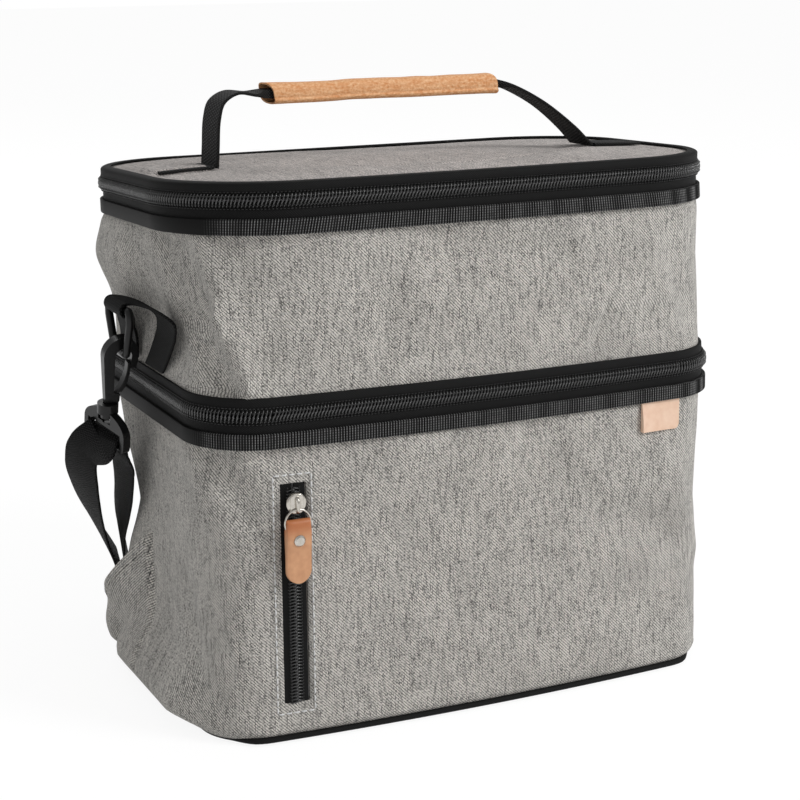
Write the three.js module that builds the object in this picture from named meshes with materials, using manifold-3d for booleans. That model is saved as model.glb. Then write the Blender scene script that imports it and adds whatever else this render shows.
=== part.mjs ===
// A soft two-deck insulated lunch bag with a tilting upper compartment and a zipped lid.
// Millimetres, +Z up. The origin is the middle of the base, +X is the wearer's right, -Y is the front.
import * as THREE from "three";
import { mergeVertices } from "three/addons/utils/BufferGeometryUtils.js";
import Module from "manifold-3d";

const wasm = await Module();
wasm.setup();

// Plan of the bag at its base, at the middle zip and at the top zip
const baseHalfWidth = 135.5;
const baseHalfDepth = 84;
const midHalfWidth = 133.5;
const midHalfDepth = 82;
const topHalfWidth = 138.4;
const topHalfDepth = 80.5;
const frontRadius = 28;
const frontRadiusTop = 53;
const rearRadius = 36;
const rearRadiusTop = 47;
const frontBow = 6;

// The soft walls give way between the floor and the band: the sides dip and the rear corners round off
const sideDip = 3;
const rearSlack = 20;
const upperSlack = 0.3;
const slackHeight = 0.55;

// Heights of the two zips; the soft top sits lower at the back by topLean
const midZipHeight = 155;
const topZipHeight = 249.5;
const topLean = 8;

// Layers of the wall, from the outside in, and the gap kept between pieces
const fabric = 1.5;
const foam = 5;
const liner = 0.8;
const gap = 0.3;
const heel = 5.8;
const pipingRadius = 1.4;
const rimDrop = 5;

// Zip chain: two coil halves on two tapes, a webbing band below and a fabric hinge behind
const zipGap = 1;
const coilHeight = 2.9;
const coilDepth = 1.7;
const tape = 1;
const tapeBelow = 12;
const tapeAbove = 8;
const bandTop = 8;
const bandBottom = 15;
const band = 1.3;
const hingeHalfWidth = 68;
const hingeReach = 14;

// Lid: foam board with a crowned fabric top and a bound edge
const lidCrown = 3.5;
const bindingHeight = 3.5;
const bindingLip = 3;

// Carrying handle
const handleHalfSpan = 100;
const handleEndSetIn = 6.9;
const handleStitch = 1.5;
const handleRise = 32.4;
const handleWidth = 22;
const webbing = 1.4;
const wrapLength = 122;
const wrapShift = -12;
const wrapHeight = 9.6;
const wrapDepth = 10;
const wrapWall = 1;
const foldedWidth = 7.2;
const foldedHeight = 4.2;

// Front pocket zip: window, pouch behind it, slider, ring and leather tab
const pocketX = -96;
const pocketBottom = 18;
const pocketTop = 123;
const pocketWindow = 12;
const pocketChain = 5;
const pouchWidth = 150;
const pouchLap = 1.1;
const pouchDrop = 4;
const pouchDepth = 2.9;
const pouchWall = 0.6;
const sliderDiscRadius = 4.75;
const sliderStop = 8.4;
const bridgeHoleOut = 1.2;
const bridgeHoleDrop = 2.4;
const ringRadius = 6.2;
const ringWire = 0.5;
const tabWidth = 12.4;
const tabLength = 30;
const tabLeather = 1.1;
const tabFoldAbove = 1.7;
const rivetRadius = 2.8;
const rivetShank = 0.9;

// Folded label under the middle band, left bare
const labelX = 97.5;
const labelWidth = 22;
const labelHeight = 16.5;

// Slanted side pockets: the front seam leans, the hem drops from it towards the back
const sidePocketFrontLow = -6;
const sidePocketFrontHigh = 12;
const sidePocketRear = 64;
const sidePocketTop = 77;
const sidePocketDrop = 52;
const sidePocketFlare = 8.5;
const sidePocketFoot = 8;

// Strap hardware, placed by its distance out from the middle of the bag
const strapWidth = 25;
const ringStandOff = 13;
const ringBarAbove = 37;
const ringBarRadius = 2;
const ringHalfWidth = 15.6;
const ringDrop = 21.5;
const ringFootHalfWidth = 8.5;
const throatRadius = 4;
const hookWidth = 5.5;
const hookTip = 3.5;
const hookThickness = 5.5;
const hookPlay = 0.9;
const hookY = -2;
const hookLean = 12;
const swivelTurn = 16;
const hookShank = 23.5;
const gateThickness = 1.4;
const neckRadius = 2;
const collarRadius = 5;
const collarHeight = 5;
const baseHalfSpan = 16.5;
const baseThickness = 3.9;
const slotHeight = 4.7;
const frameBarRadius = 1.9;

// Shoulder strap adjuster
const adjusterX = -45;
const adjusterPitch = 9;
const adjusterHeight = 5.2;
const adjusterBarRadius = 1.2;
const adjusterRail = 3;
const strapBehind = 112;

// Main zip sliders, parked at the closed end on the right side
const runnerY = 24;
const runnerLength = 11;
const runnerPlate = 1.2;
const runnerHalfHeight = 4.6;
const archHalfLength = 3.2;
const archBar = 1.6;
const archRise = 2.6;
const archHeight = 3.2;
const archRoof = 1;
const pullLength = 26;
const pullWidth = 6;

// Stations round the plan: straight runs and corners are cut into these counts
const rearSteps = 2;
const cornerSteps = 6;
const sideSteps = 3;
const frontSteps = 8;

const V = (x, y, z) => new THREE.Vector3(x, y, z);
const mix = THREE.MathUtils.lerp;

const root = new THREE.Group();
const finish = (color, roughness, metalness = 0) =>
  new THREE.MeshStandardMaterial({ color, roughness, metalness });
const greyFabric = () => finish(0x8d8883, 0.95);
const blackWebbing = () => finish(0x17171a, 0.85);
const blackPlastic = () => finish(0x1b1b1d, 0.5);
const whiteFoam = () => finish(0xe9e9e4, 0.9);
const silverLiner = () => finish(0xbfc3c6, 0.35, 0.3);
const nickel = () => finish(0xb9b3a8, 0.3, 1);
const tan = () => finish(0xb9713f, 0.6);
const cork = () => finish(0xc58752, 0.8);

// The mesh of one sub-part, with its own material
function piece(name, geometry, material) {
  geometry.computeVertexNormals();
  const mesh = new THREE.Mesh(geometry, material);
  mesh.name = name;
  root.add(mesh);
  return mesh;
}

// Six times the volume enclosed by an indexed surface; negative when its faces point inwards
function signedVolume(geometry) {
  const at = geometry.getAttribute("position");
  const index = geometry.index.array;
  const a = V(0, 0, 0);
  const b = V(0, 0, 0);
  const c = V(0, 0, 0);
  let sum = 0;
  for (let i = 0; i < index.length; i += 3) {
    a.fromBufferAttribute(at, index[i]);
    b.fromBufferAttribute(at, index[i + 1]);
    c.fromBufferAttribute(at, index[i + 2]);
    sum += a.dot(b.cross(c));
  }
  return sum;
}

function facingOut(geometry) {
  if (signedVolume(geometry) < 0) {
    geometry.setIndex([...geometry.index.array].reverse());
  }
  return geometry;
}

// Triangles of a flat or nearly flat ring of points, seen from the side its winding faces
function capFaces(ring) {
  const normal = V(0, 0, 0);
  ring.forEach((p, i) => {
    const q = ring[(i + 1) % ring.length];
    normal.x += (p.y - q.y) * (p.z + q.z);
    normal.y += (p.z - q.z) * (p.x + q.x);
    normal.z += (p.x - q.x) * (p.y + q.y);
  });
  normal.normalize();
  const aside = Math.abs(normal.z) < 0.9 ? V(0, 0, 1) : V(1, 0, 0);
  const across = aside.cross(normal).normalize();
  const along = V(0, 0, 0).crossVectors(normal, across);
  const flat = ring.map((p) => new THREE.Vector2(p.dot(across), p.dot(along)));
  return THREE.ShapeUtils.triangulateShape(flat, []).map(([a, b, c]) => {
    const ab = flat[b].clone().sub(flat[a]);
    const ac = flat[c].clone().sub(flat[a]);
    return ab.cross(ac) < 0 ? [a, c, b] : [a, b, c];
  });
}

// One closed surface through a row of rings of equal count, capped at both ends or joined end to end
function skin(rings, joined = false) {
  const count = rings[0].length;
  const index = [];
  const spans = joined ? rings.length : rings.length - 1;
  for (let i = 0; i < spans; i++) {
    const here = i * count;
    const next = ((i + 1) % rings.length) * count;
    for (let j = 0; j < count; j++) {
      const k = (j + 1) % count;
      index.push(here + j, here + k, next + k);
      index.push(here + j, next + k, next + j);
    }
  }
  if (!joined) {
    const last = (rings.length - 1) * count;
    capFaces(rings[0]).forEach(([a, b, c]) => index.push(a, c, b));
    capFaces(rings.at(-1)).forEach((face) => index.push(...face.map((i) => i + last)));
  }
  const geometry = new THREE.BufferGeometry().setFromPoints(rings.flat());
  geometry.setIndex(index);
  return facingOut(geometry);
}

// A three.js geometry with its shared corners merged and its empty triangles left out
function merged(geometry) {
  geometry.deleteAttribute("normal");
  geometry.deleteAttribute("uv");
  const made = mergeVertices(geometry, 1e-4);
  const kept = [];
  for (let i = 0; i < made.index.count; i += 3) {
    const [a, b, c] = made.index.array.slice(i, i + 3);
    if (a !== b && b !== c && c !== a) kept.push(a, b, c);
  }
  return made.setIndex(kept);
}

function toSolid(geometry) {
  const made = geometry.index && !geometry.getAttribute("uv") ? geometry : merged(geometry);
  const vertProperties = new Float32Array(made.getAttribute("position").array);
  const triVerts = new Uint32Array(made.index.array);
  return new wasm.Manifold(new wasm.Mesh({ numProp: 3, vertProperties, triVerts }));
}

function fromSolid(solid) {
  const mesh = solid.getMesh();
  const geometry = new THREE.BufferGeometry();
  geometry.setAttribute("position", new THREE.BufferAttribute(mesh.vertProperties, 3));
  geometry.setIndex([...mesh.triVerts]);
  return geometry;
}

const join = (...parts) => fromSolid(parts.map(toSolid).reduce((a, b) => a.add(b)));
const cut = (body, ...tools) =>
  fromSolid(tools.map(toSolid).reduce((a, b) => a.subtract(b), toSolid(body)));

// Plan of the bag at a height: half width, half depth, front and rear corner radius
function planAt(z) {
  if (z <= midZipHeight) {
    const t = z / midZipHeight;
    const halfWidth = mix(baseHalfWidth, midHalfWidth, t);
    return [halfWidth, mix(baseHalfDepth, midHalfDepth, t), frontRadius, rearRadius];
  }
  const t = Math.min(1, (z - midZipHeight) / (topZipHeight - midZipHeight));
  return [
    mix(midHalfWidth, topHalfWidth, t),
    mix(midHalfDepth, topHalfDepth, t),
    mix(frontRadius, frontRadiusTop, t),
    mix(rearRadius, rearRadiusTop, t),
  ];
}

const lowerLevels = [heel, slackHeight * midZipHeight, midZipHeight - bandBottom];
const upperFloor = midZipHeight + rimDrop;
const upperLevels = [upperFloor + 2, mix(midZipHeight, topZipHeight, slackHeight), topZipHeight - bandBottom];

// How slack the wall is at a height: none at a floor and at the band above it, most between them
function slack(z) {
  const lower = z < midZipHeight;
  const [low, middle, high] = lower ? lowerLevels : upperLevels;
  const rise = (z - low) / (middle - low);
  const fall = (high - z) / (high - middle);
  return (lower ? 1 : upperSlack) * THREE.MathUtils.clamp(Math.min(rise, fall), 0, 1);
}

// How far a point of the upper part sits below its nominal height
function lean(y, z) {
  const up = THREE.MathUtils.clamp((z - midZipHeight) / (topZipHeight - midZipHeight), 0, 1);
  return topLean * up * ((y + topHalfDepth) / (2 * topHalfDepth));
}

const stations = 2 * rearSteps + 4 * cornerSteps + 2 * sideSteps + frontSteps;

// A point of the wall: u counts stations from the middle of the back, anticlockwise from above
function wallPoint(u, z, inset = 0) {
  const [fullWidth, fullDepth, frontCorner, rearCorner] = planAt(z);
  const a = fullWidth - inset - sideDip * slack(z);
  const b = fullDepth - inset;
  const front = frontCorner - inset;
  const rear = rearCorner - inset + rearSlack * slack(z);
  let s = ((u % stations) + stations) % stations;
  const mirrored = s > stations / 2;
  s = mirrored ? stations - s : s;
  let x;
  let y;
  const corner = (radius, cx, cy, start, t) => {
    const angle = start + (t * Math.PI) / 2;
    x = cx + radius * Math.cos(angle);
    y = cy + radius * Math.sin(angle);
  };
  if (s <= rearSteps) {
    const end = a - rear;
    x = s <= 1 ? -hingeHalfWidth * s : -mix(hingeHalfWidth, end, (s - 1) / (rearSteps - 1));
    y = b;
  } else if ((s -= rearSteps) <= cornerSteps) {
    corner(rear, rear - a, b - rear, Math.PI / 2, s / cornerSteps);
  } else if ((s -= cornerSteps) <= sideSteps) {
    x = -a;
    y = mix(b - rear, front - b, s / sideSteps);
  } else if ((s -= sideSteps) <= cornerSteps) {
    corner(front, front - a, front - b, Math.PI, s / cornerSteps);
  } else {
    x = mix(front - a, 0, (s - cornerSteps) / (frontSteps / 2));
    y = -b;
  }
  if (y < 0) y -= frontBow * (1 - (x / a) ** 2);
  return V(mirrored ? -x : x, y, z - lean(y, z));
}

// A point of the straight right side, given by its y
function rightSidePoint(y, z) {
  const [width] = planAt(z);
  return V(width, y, z - lean(y, z));
}

// A strip that follows the wall; its section is a list of [outward offset, height]
function strip(section, from = 0, to = stations) {
  const whole = to - from === stations;
  const rings = [];
  for (let u = from; u < to; u = Math.floor(u) + 1) {
    rings.push(section.map(([out, z]) => wallPoint(u, z, -out)));
  }
  if (!whole) rings.push(section.map(([out, z]) => wallPoint(to, z, -out)));
  return skin(rings, whole);
}

const boxSection = (inner, outer, low, high) => [
  [inner, low],
  [outer, low],
  [outer, high],
  [inner, high],
];

// An open cup that follows the wall: its outer face lies inset from the fabric's, with a chamfered heel
function cup(inset, wall, floorZ, floor, rimZ, heelSize) {
  const chamfer = Math.max(0.8, heelSize - 0.586 * inset);
  const innerChamfer = Math.max(0.8, chamfer - 0.586 * wall);
  const [, middle, high] = rimZ < midZipHeight ? lowerLevels : upperLevels;
  const inner = inset + wall;
  const levels = [
    [inset + chamfer, floorZ],
    [inset, floorZ + chamfer],
    [inset, middle],
    [inset, high],
    [inset, rimZ],
    [inner, rimZ],
    [inner, high],
    [inner, middle],
    [inner, floorZ + floor + innerChamfer],
    [inner + innerChamfer, floorZ + floor],
  ];
  return skin(
    levels.map(([offset, z]) => Array.from({ length: stations }, (_, u) => wallPoint(u, z, offset))),
  );
}

function frontY(x, z, out) {
  const [width, depth] = planAt(z);
  return -depth - out - frontBow * (1 - (x / (width + out)) ** 2);
}

// Front wall sheet between two x values, following the wall; offsets are outwards
function frontSheet(x0, x1, low, high, inner, outer, steps = 4) {
  const rings = [];
  for (let i = 0; i <= steps; i++) {
    const x = mix(x0, x1, i / steps);
    rings.push(boxSection(inner, outer, low, high).map(([out, z]) => V(x, frontY(x, z, out), z)));
  }
  return skin(rings);
}

// A band along a smooth line; each stop is [x, y, z, direction of its width, own width, own thickness]
function ribbon(stops, width, thickness, stepsPerStop, square = true) {
  const steps = stepsPerStop * (stops.length - 1);
  const line = new THREE.CatmullRomCurve3(stops.map(([x, y, z]) => V(x, y, z)), false, "centripetal");
  const rings = [];
  for (let i = 0; i <= steps; i++) {
    const t = i / steps;
    const at = line.getPoint(t);
    const along = line.getTangent(t);
    const place = t * (stops.length - 1);
    const low = Math.min(stops.length - 2, Math.floor(place));
    const part = place - low;
    const side = stops[low][3].clone().lerp(stops[low + 1][3], part);
    const w = mix(stops[low][4] ?? width, stops[low + 1][4] ?? width, part) / 2;
    const h = mix(stops[low][5] ?? thickness, stops[low + 1][5] ?? thickness, part) / 2;
    if (square) side.addScaledVector(along, -side.dot(along));
    side.normalize();
    const up = V(0, 0, 0).crossVectors(along, side).normalize();
    rings.push(
      [
        [-w, -h],
        [w, -h],
        [w, h],
        [-w, h],
      ].map(([p, q]) => at.clone().addScaledVector(side, p).addScaledVector(up, q)),
    );
  }
  return skin(rings);
}

// Ribbon stops on a circle round a bar; the angles are in degrees, 0 is out and 90 is up
function aroundBar(at, along, out, radius, angles) {
  const level = out.clone().addScaledVector(along, -out.dot(along)).normalize();
  const up = V(0, 0, 0).crossVectors(along, level);
  up.multiplyScalar(Math.sign(up.z));
  return angles.map((angle) => {
    const a = THREE.MathUtils.degToRad(angle);
    const p = at.clone().addScaledVector(level, radius * Math.cos(a));
    p.addScaledVector(up, radius * Math.sin(a));
    return [p.x, p.y, p.z, along];
  });
}

// A closed round-section wire along a flat closed line
function wireLoop(points, normal, radius, sides = 8) {
  const rings = points.map((p, i) => {
    const before = points[(i + points.length - 1) % points.length];
    const after = points[(i + 1) % points.length];
    const along = after.clone().sub(before).normalize();
    const out = V(0, 0, 0).crossVectors(along, normal).normalize();
    return Array.from({ length: sides }, (_, k) => {
      const angle = (2 * Math.PI * k) / sides;
      return p
        .clone()
        .addScaledVector(out, radius * Math.cos(angle))
        .addScaledVector(normal, radius * Math.sin(angle));
    });
  });
  return skin(rings, true);
}

// A plate cut from a drawn outline, standing in the plane of two axes and centred across it
function plate(shape, thickness, axes, curveSegments = 6) {
  const drawn = shape.extractPoints(curveSegments);
  const clockwise = THREE.ShapeUtils.isClockWise(drawn.shape);
  const outline = new THREE.Shape(clockwise ? drawn.shape.reverse() : drawn.shape);
  outline.holes = drawn.holes.map((points) => new THREE.Path(points));
  const geometry = new THREE.ExtrudeGeometry(outline, { depth: thickness, bevelEnabled: false });
  geometry.translate(0, 0, -thickness / 2);
  geometry.applyMatrix4(axes);
  return facingOut(merged(geometry));
}

const acrossX = new THREE.Matrix4().makeBasis(V(0, 1, 0), V(0, 0, 1), V(1, 0, 0));
const acrossY = new THREE.Matrix4().makeBasis(V(1, 0, 0), V(0, 0, 1), V(0, -1, 0));

function roundedRectangle(width, height, radius, hole = false) {
  const shape = hole ? new THREE.Path() : new THREE.Shape();
  const x = width / 2;
  const y = height / 2;
  shape.moveTo(-x + radius, -y);
  shape.lineTo(x - radius, -y);
  shape.absarc(x - radius, -y + radius, radius, -Math.PI / 2, 0);
  shape.lineTo(x, y - radius);
  shape.absarc(x - radius, y - radius, radius, 0, Math.PI / 2);
  shape.lineTo(-x + radius, y);
  shape.absarc(-x + radius, y - radius, radius, Math.PI / 2, Math.PI);
  shape.lineTo(-x, -y + radius);
  shape.absarc(-x + radius, -y + radius, radius, Math.PI, 1.5 * Math.PI);
  return shape;
}

const box = (w, d, h, x, y, z) => merged(new THREE.BoxGeometry(w, d, h).translate(x, y, z));
const upright = (radius, low, high, x, y, sides = 16) =>
  merged(
    new THREE.CylinderGeometry(radius, radius, high - low, sides)
      .rotateX(Math.PI / 2)
      .translate(x, y, (low + high) / 2),
  );
const alongY = (radius, length, x, y, z, sides = 12) =>
  merged(new THREE.CylinderGeometry(radius, radius, length, sides).translate(x, y, z));

// A copy of a geometry made with x pointing outwards, put on the left (-1) or right (1) of the bag
function handed(geometry, side) {
  const made = geometry.clone().applyMatrix4(new THREE.Matrix4().makeScale(side, 1, 1));
  return facingOut(made);
}

function zipLower(name, z, from, to) {
  const high = z - zipGap / 2;
  const section = boxSection(gap, gap + tape, z - tapeBelow, high);
  piece(name + "_zip_tape_below", strip(section, from, to), blackWebbing());
  const coilIn = 2 * gap + tape;
  const coil = boxSection(coilIn, coilIn + coilDepth, high - coilHeight, high);
  piece(name + "_zip_coil_below", strip(coil, from, to), blackPlastic());
}

function zipUpper(name, z, reach, from, to) {
  const low = z + zipGap / 2;
  const section = boxSection(gap, gap + tape, low, z + reach);
  piece(name + "_zip_tape_above", strip(section, from, to), blackWebbing());
  const coilIn = 2 * gap + tape;
  const coil = boxSection(coilIn, coilIn + coilDepth, low, low + coilHeight);
  piece(name + "_zip_coil_above", strip(coil, from, to), blackPlastic());
}

// Webbing band under a zip; it stops at the ends of the fabric hinge
function zipBand(name, z, from, to) {
  const inner = 2 * gap + tape;
  const section = boxSection(inner, inner + band, z - bandBottom, z - bandTop);
  piece(name, strip(section, from, to), blackWebbing());
}

// The two halves of a fabric hinge at the back, which meet on the hinge line
function fabricHinge(name, z, above) {
  const inner = gap;
  const outer = gap + tape + 0.6;
  const lower = boxSection(inner, outer, z - hingeReach, z - gap / 2);
  const upper = boxSection(inner, outer, z + gap / 2, z + above);
  const end = 1 - gap / hingeHalfWidth;
  piece(name + "_hinge_below", strip(lower, -end, end), blackWebbing());
  piece(name + "_hinge_above", strip(upper, -end, end), blackWebbing());
}

function lowerCompartment() {
  const rim = midZipHeight - rimDrop;
  const windowCut = frontSheet(
    pocketX - pocketWindow / 2,
    pocketX + pocketWindow / 2,
    pocketBottom,
    pocketTop,
    -2 * fabric,
    2 * fabric,
    2,
  );
  piece("lower_shell", cut(cup(0, fabric, 0, fabric, rim, heel), windowCut), greyFabric());

  const foamInset = fabric + gap;
  const pouchLeft = pocketX - pocketWindow / 2 - pouchLap;
  const pouchRight = pouchLeft + pouchWidth;
  const pouchBottom = pocketBottom - pouchDrop;
  const pouchTop = pocketTop + pouchDrop;
  const recess = frontSheet(
    pouchLeft - gap,
    pouchRight + gap,
    pouchBottom - gap,
    pouchTop + gap,
    -foamInset - pouchDepth - gap,
    0,
    8,
  );
  const foamCup = cup(foamInset, foam, foamInset, foam, rim - gap, heel);
  piece("lower_insulation", cut(foamCup, recess), whiteFoam());

  const linerInset = foamInset + foam + gap;
  piece("lower_liner", cup(linerInset, liner, linerInset, liner, rim - 2 * gap, heel), silverLiner());

  const pouchIn = -foamInset - pouchDepth;
  const pouch = frontSheet(pouchLeft, pouchRight, pouchBottom, pouchTop, pouchIn, -foamInset, 8);
  const inside = frontSheet(
    pouchLeft + pouchWall,
    pouchRight - pouchWall,
    pouchBottom + pouchWall,
    pouchTop - pouchWall,
    pouchIn + pouchWall,
    -foamInset - pouchWall,
    8,
  );
  const mouth = frontSheet(
    pocketX - pocketWindow / 4,
    pocketX + pocketWindow / 4,
    pocketBottom + pouchWall,
    pocketTop - pouchWall,
    -foamInset - pouchDepth / 2,
    fabric,
    2,
  );
  piece("pocket_pouch", cut(pouch, inside, mouth), greyFabric());

  const centre = pipingRadius + gap;
  const piping = Array.from({ length: 8 }, (_, k) => {
    const angle = (Math.PI * k) / 4;
    return [pipingRadius * Math.cos(angle) - 1.2, centre + pipingRadius * Math.sin(angle)];
  });
  piece("base_piping", strip(piping), blackWebbing());
}

function pocketZip() {
  const low = pocketBottom + gap;
  const high = pocketTop - gap;
  const inner = -fabric + gap;
  const outer = -gap;
  const half = pocketWindow / 2 - gap;
  [-1, 1].forEach((side) => {
    const edges = [pocketX + side * half, pocketX + (side * zipGap) / 2].sort((a, b) => a - b);
    const strand = frontSheet(edges[0], edges[1], low, high, inner, outer, 1);
    piece(side < 0 ? "pocket_zip_tape_left" : "pocket_zip_tape_right", strand, blackWebbing());
    const rows = [pocketX + (side * pocketChain) / 2, pocketX + (side * zipGap) / 2].sort((a, b) => a - b);
    const coil = frontSheet(rows[0], rows[1], low + 1, high - 1, 0, coilDepth - gap, 1);
    piece(side < 0 ? "pocket_zip_coil_left" : "pocket_zip_coil_right", coil, blackPlastic());
  });
}

// Slider with a round cap, a bridge for the ring, and a web that parts the two coil rows
function pocketSlider() {
  const z = pocketTop - sliderStop;
  const face = frontY(pocketX, z, coilDepth);
  const plateY = face - runnerPlate / 2;
  const outline = roundedRectangle(pocketChain + 3, 12, 2.5);
  const base = plate(outline, runnerPlate, acrossY).translate(pocketX, plateY, z);
  const capY = face - 2 * runnerPlate;
  const cap = new THREE.CylinderGeometry(sliderDiscRadius, sliderDiscRadius - 1, 1.5 * runnerPlate, 20);
  cap.translate(pocketX, capY + 0.75 * runnerPlate, z);
  const bridge = new THREE.Shape();
  bridge.moveTo(-1, 3.2);
  bridge.quadraticCurveTo(2.2, 3, 3, 0);
  bridge.quadraticCurveTo(3.4, -3.4, 2.2, -4.4);
  bridge.lineTo(-1, -4.4);
  const hole = new THREE.Path();
  hole.absarc(bridgeHoleOut, -bridgeHoleDrop, ringWire + 0.5, 0, 2 * Math.PI, true);
  bridge.holes.push(hole);
  const outwards = new THREE.Matrix4().makeBasis(V(0, -1, 0), V(0, 0, 1), V(-1, 0, 0));
  const arch = plate(bridge, 2.2, outwards, 8).translate(pocketX, capY, z);
  const webDepth = coilDepth + fabric - gap;
  const web = box(zipGap - 2 * gap, webDepth, 2, pocketX, face + webDepth / 2 - 0.1, z + 4.5);
  piece("pocket_slider", join(base, merged(cap), arch, web), nickel());
  return { y: capY - bridgeHoleOut, z: z - bridgeHoleDrop };
}

// Split ring through the slider's bridge, and the leather tab folded round its lower half
function pocketPull(pivot) {
  const centreZ = pivot.z - ringRadius;
  const circle = Array.from({ length: 28 }, (_, k) => {
    const angle = (2 * Math.PI * k) / 28;
    return V(pocketX + ringRadius * Math.cos(angle), pivot.y, centreZ + ringRadius * Math.sin(angle));
  });
  piece("pocket_ring", wireLoop(circle, V(0, 1, 0), ringWire), nickel());

  const foldZ = centreZ + tabFoldAbove;
  const bottom = foldZ - tabLength;
  const hollow = ringWire + gap;
  const half = hollow + tabLeather;
  const hollowEnd = centreZ - ringRadius - hollow;
  const rivetZ = hollowEnd - rivetShank;
  const taperTop = rivetZ - rivetRadius - gap;
  const profile = new THREE.Shape();
  profile.moveTo(-tabLeather, bottom);
  profile.lineTo(tabLeather, bottom);
  profile.lineTo(tabLeather, taperTop - 5);
  profile.lineTo(half, taperTop);
  profile.lineTo(half, foldZ - half);
  profile.absarc(0, foldZ - half, half, 0, Math.PI);
  profile.lineTo(-half, taperTop);
  profile.lineTo(-tabLeather, taperTop - 5);
  const eye = new THREE.Path();
  eye.moveTo(-hollow, hollowEnd);
  eye.lineTo(-hollow, foldZ - half);
  eye.absarc(0, foldZ - half, hollow, Math.PI, 0, true);
  eye.lineTo(hollow, hollowEnd);
  profile.holes.push(eye);
  const folded = plate(profile, tabWidth, acrossX, 8).translate(pocketX, pivot.y, 0);

  const face = new THREE.Shape();
  const w = tabWidth / 2;
  const neck = Math.sqrt(ringRadius ** 2 - tabFoldAbove ** 2) - ringWire - gap;
  face.moveTo(-w, bottom + w);
  face.absarc(0, bottom + w, w, Math.PI, 2 * Math.PI);
  face.lineTo(w, foldZ - 4.5);
  face.lineTo(neck, foldZ - 2.4);
  face.lineTo(neck, foldZ + 1);
  face.lineTo(-neck, foldZ + 1);
  face.lineTo(-neck, foldZ - 2.4);
  face.lineTo(-w, foldZ - 4.5);
  const trim = plate(face, 20, acrossY, 10).translate(pocketX, pivot.y, 0);
  const rivetHole = alongY(rivetShank + gap, 20, pocketX, pivot.y, rivetZ, 16);
  const tab = fromSolid(toSolid(folded).intersect(toSolid(trim)).subtract(toSolid(rivetHole)));
  piece("pocket_tab", tab, tan());

  const cap = half + gap;
  const rivet = [
    [0, -cap - 0.5],
    [rivetRadius, -cap - 0.4],
    [rivetRadius, -cap],
    [rivetShank, -cap],
    [rivetShank, cap],
    [rivetRadius, cap],
    [rivetRadius * 0.7, cap + 0.9],
    [0, cap + 1.2],
  ].map(([r, y]) => new THREE.Vector2(r, -y));
  const turned = facingOut(merged(new THREE.LatheGeometry(rivet.reverse(), 16)));
  piece("pocket_rivet", turned.translate(pocketX, pivot.y, rivetZ), nickel());
}

// A point off the right side wall or its rear corner, given by the y of the wall point under it
function offSide(y, z, out) {
  const [width, depth, , corner] = planAt(z);
  const radius = corner + rearSlack * slack(z);
  const angle = Math.asin(THREE.MathUtils.clamp((y - depth + radius) / radius, 0, 1));
  const x = width - sideDip * slack(z) - radius * (1 - Math.cos(angle));
  return V(x + out * Math.cos(angle), y + out * Math.sin(angle), z);
}

// Slanted pocket on the rear half of a side, standing away from the wall at its hem
function sidePocket(name, side) {
  const columns = 10;
  const rows = 6;
  const rings = [];
  for (let i = 0; i <= columns; i++) {
    const t = i / columns;
    const hem = sidePocketTop - sidePocketDrop * t;
    const at = (row, extra) => {
      const v = row / rows;
      const z = mix(sidePocketFoot, hem, v);
      const frontSeam = mix(sidePocketFrontLow, sidePocketFrontHigh, z / sidePocketTop);
      const stand = gap + sidePocketFlare * Math.sin(Math.PI * t ** 1.3) ** 0.6 * v ** 1.2;
      return offSide(mix(frontSeam, sidePocketRear, t), z, stand + extra);
    };
    const ring = [];
    for (let row = 0; row <= rows; row++) ring.push(at(row, webbing));
    for (let row = rows; row >= 0; row--) ring.push(at(row, 0));
    rings.push(ring);
  }
  piece(name, handed(skin(rings), side), greyFabric());
}

function label() {
  const x0 = labelX - labelWidth / 2;
  const bandEdge = midZipHeight - bandBottom;
  const low = bandEdge + 1.5 - labelHeight;
  const sheet = frontSheet(x0, x0 + labelWidth, low, bandEdge - gap, 2 * gap, 2 * gap + 1, 2);
  piece("label", sheet, tan());
}

function upperCompartment() {
  const floor = upperFloor;
  const rim = topZipHeight - rimDrop;
  piece("upper_shell", cup(0, fabric, floor, fabric, rim, 1.5), greyFabric());
  const foamInset = fabric + gap;
  piece("upper_insulation", cup(foamInset, foam, floor + foamInset, foam, rim - gap, 1.5), whiteFoam());
  const linerInset = foamInset + foam + gap;
  piece("upper_liner", cup(linerInset, liner, floor + linerInset, liner, rim - 2 * gap, 1.5), silverLiner());
}

const lidBase = topZipHeight + zipGap / 2;
const lidEdge = lidBase + coilHeight + gap + bindingHeight - 0.8;

// Height of the lid's top face at a place
function lidTop(x, y) {
  const [width, depth] = planAt(topZipHeight);
  const k = Math.min(1, Math.max(Math.abs(x) / width, Math.abs(y) / depth));
  return lidEdge + lidCrown * (1 - k * k) - lean(y, topZipHeight);
}

// A board that follows the top plan, flat below and crowned on top
function crownedBoard(inset, low, high, crown) {
  const size = (k, z) =>
    Array.from({ length: stations }, (_, u) => {
      const p = wallPoint(u, topZipHeight, inset);
      const y = p.y * k;
      return V(p.x * k, y, z - lean(y, topZipHeight));
    });
  const rings = [size(1, low), size(1, high)];
  [0.85, 0.65, 0.4, 0.12].forEach((k) => rings.push(size(k, high + crown * (1 - k * k))));
  return skin(rings);
}

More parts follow.
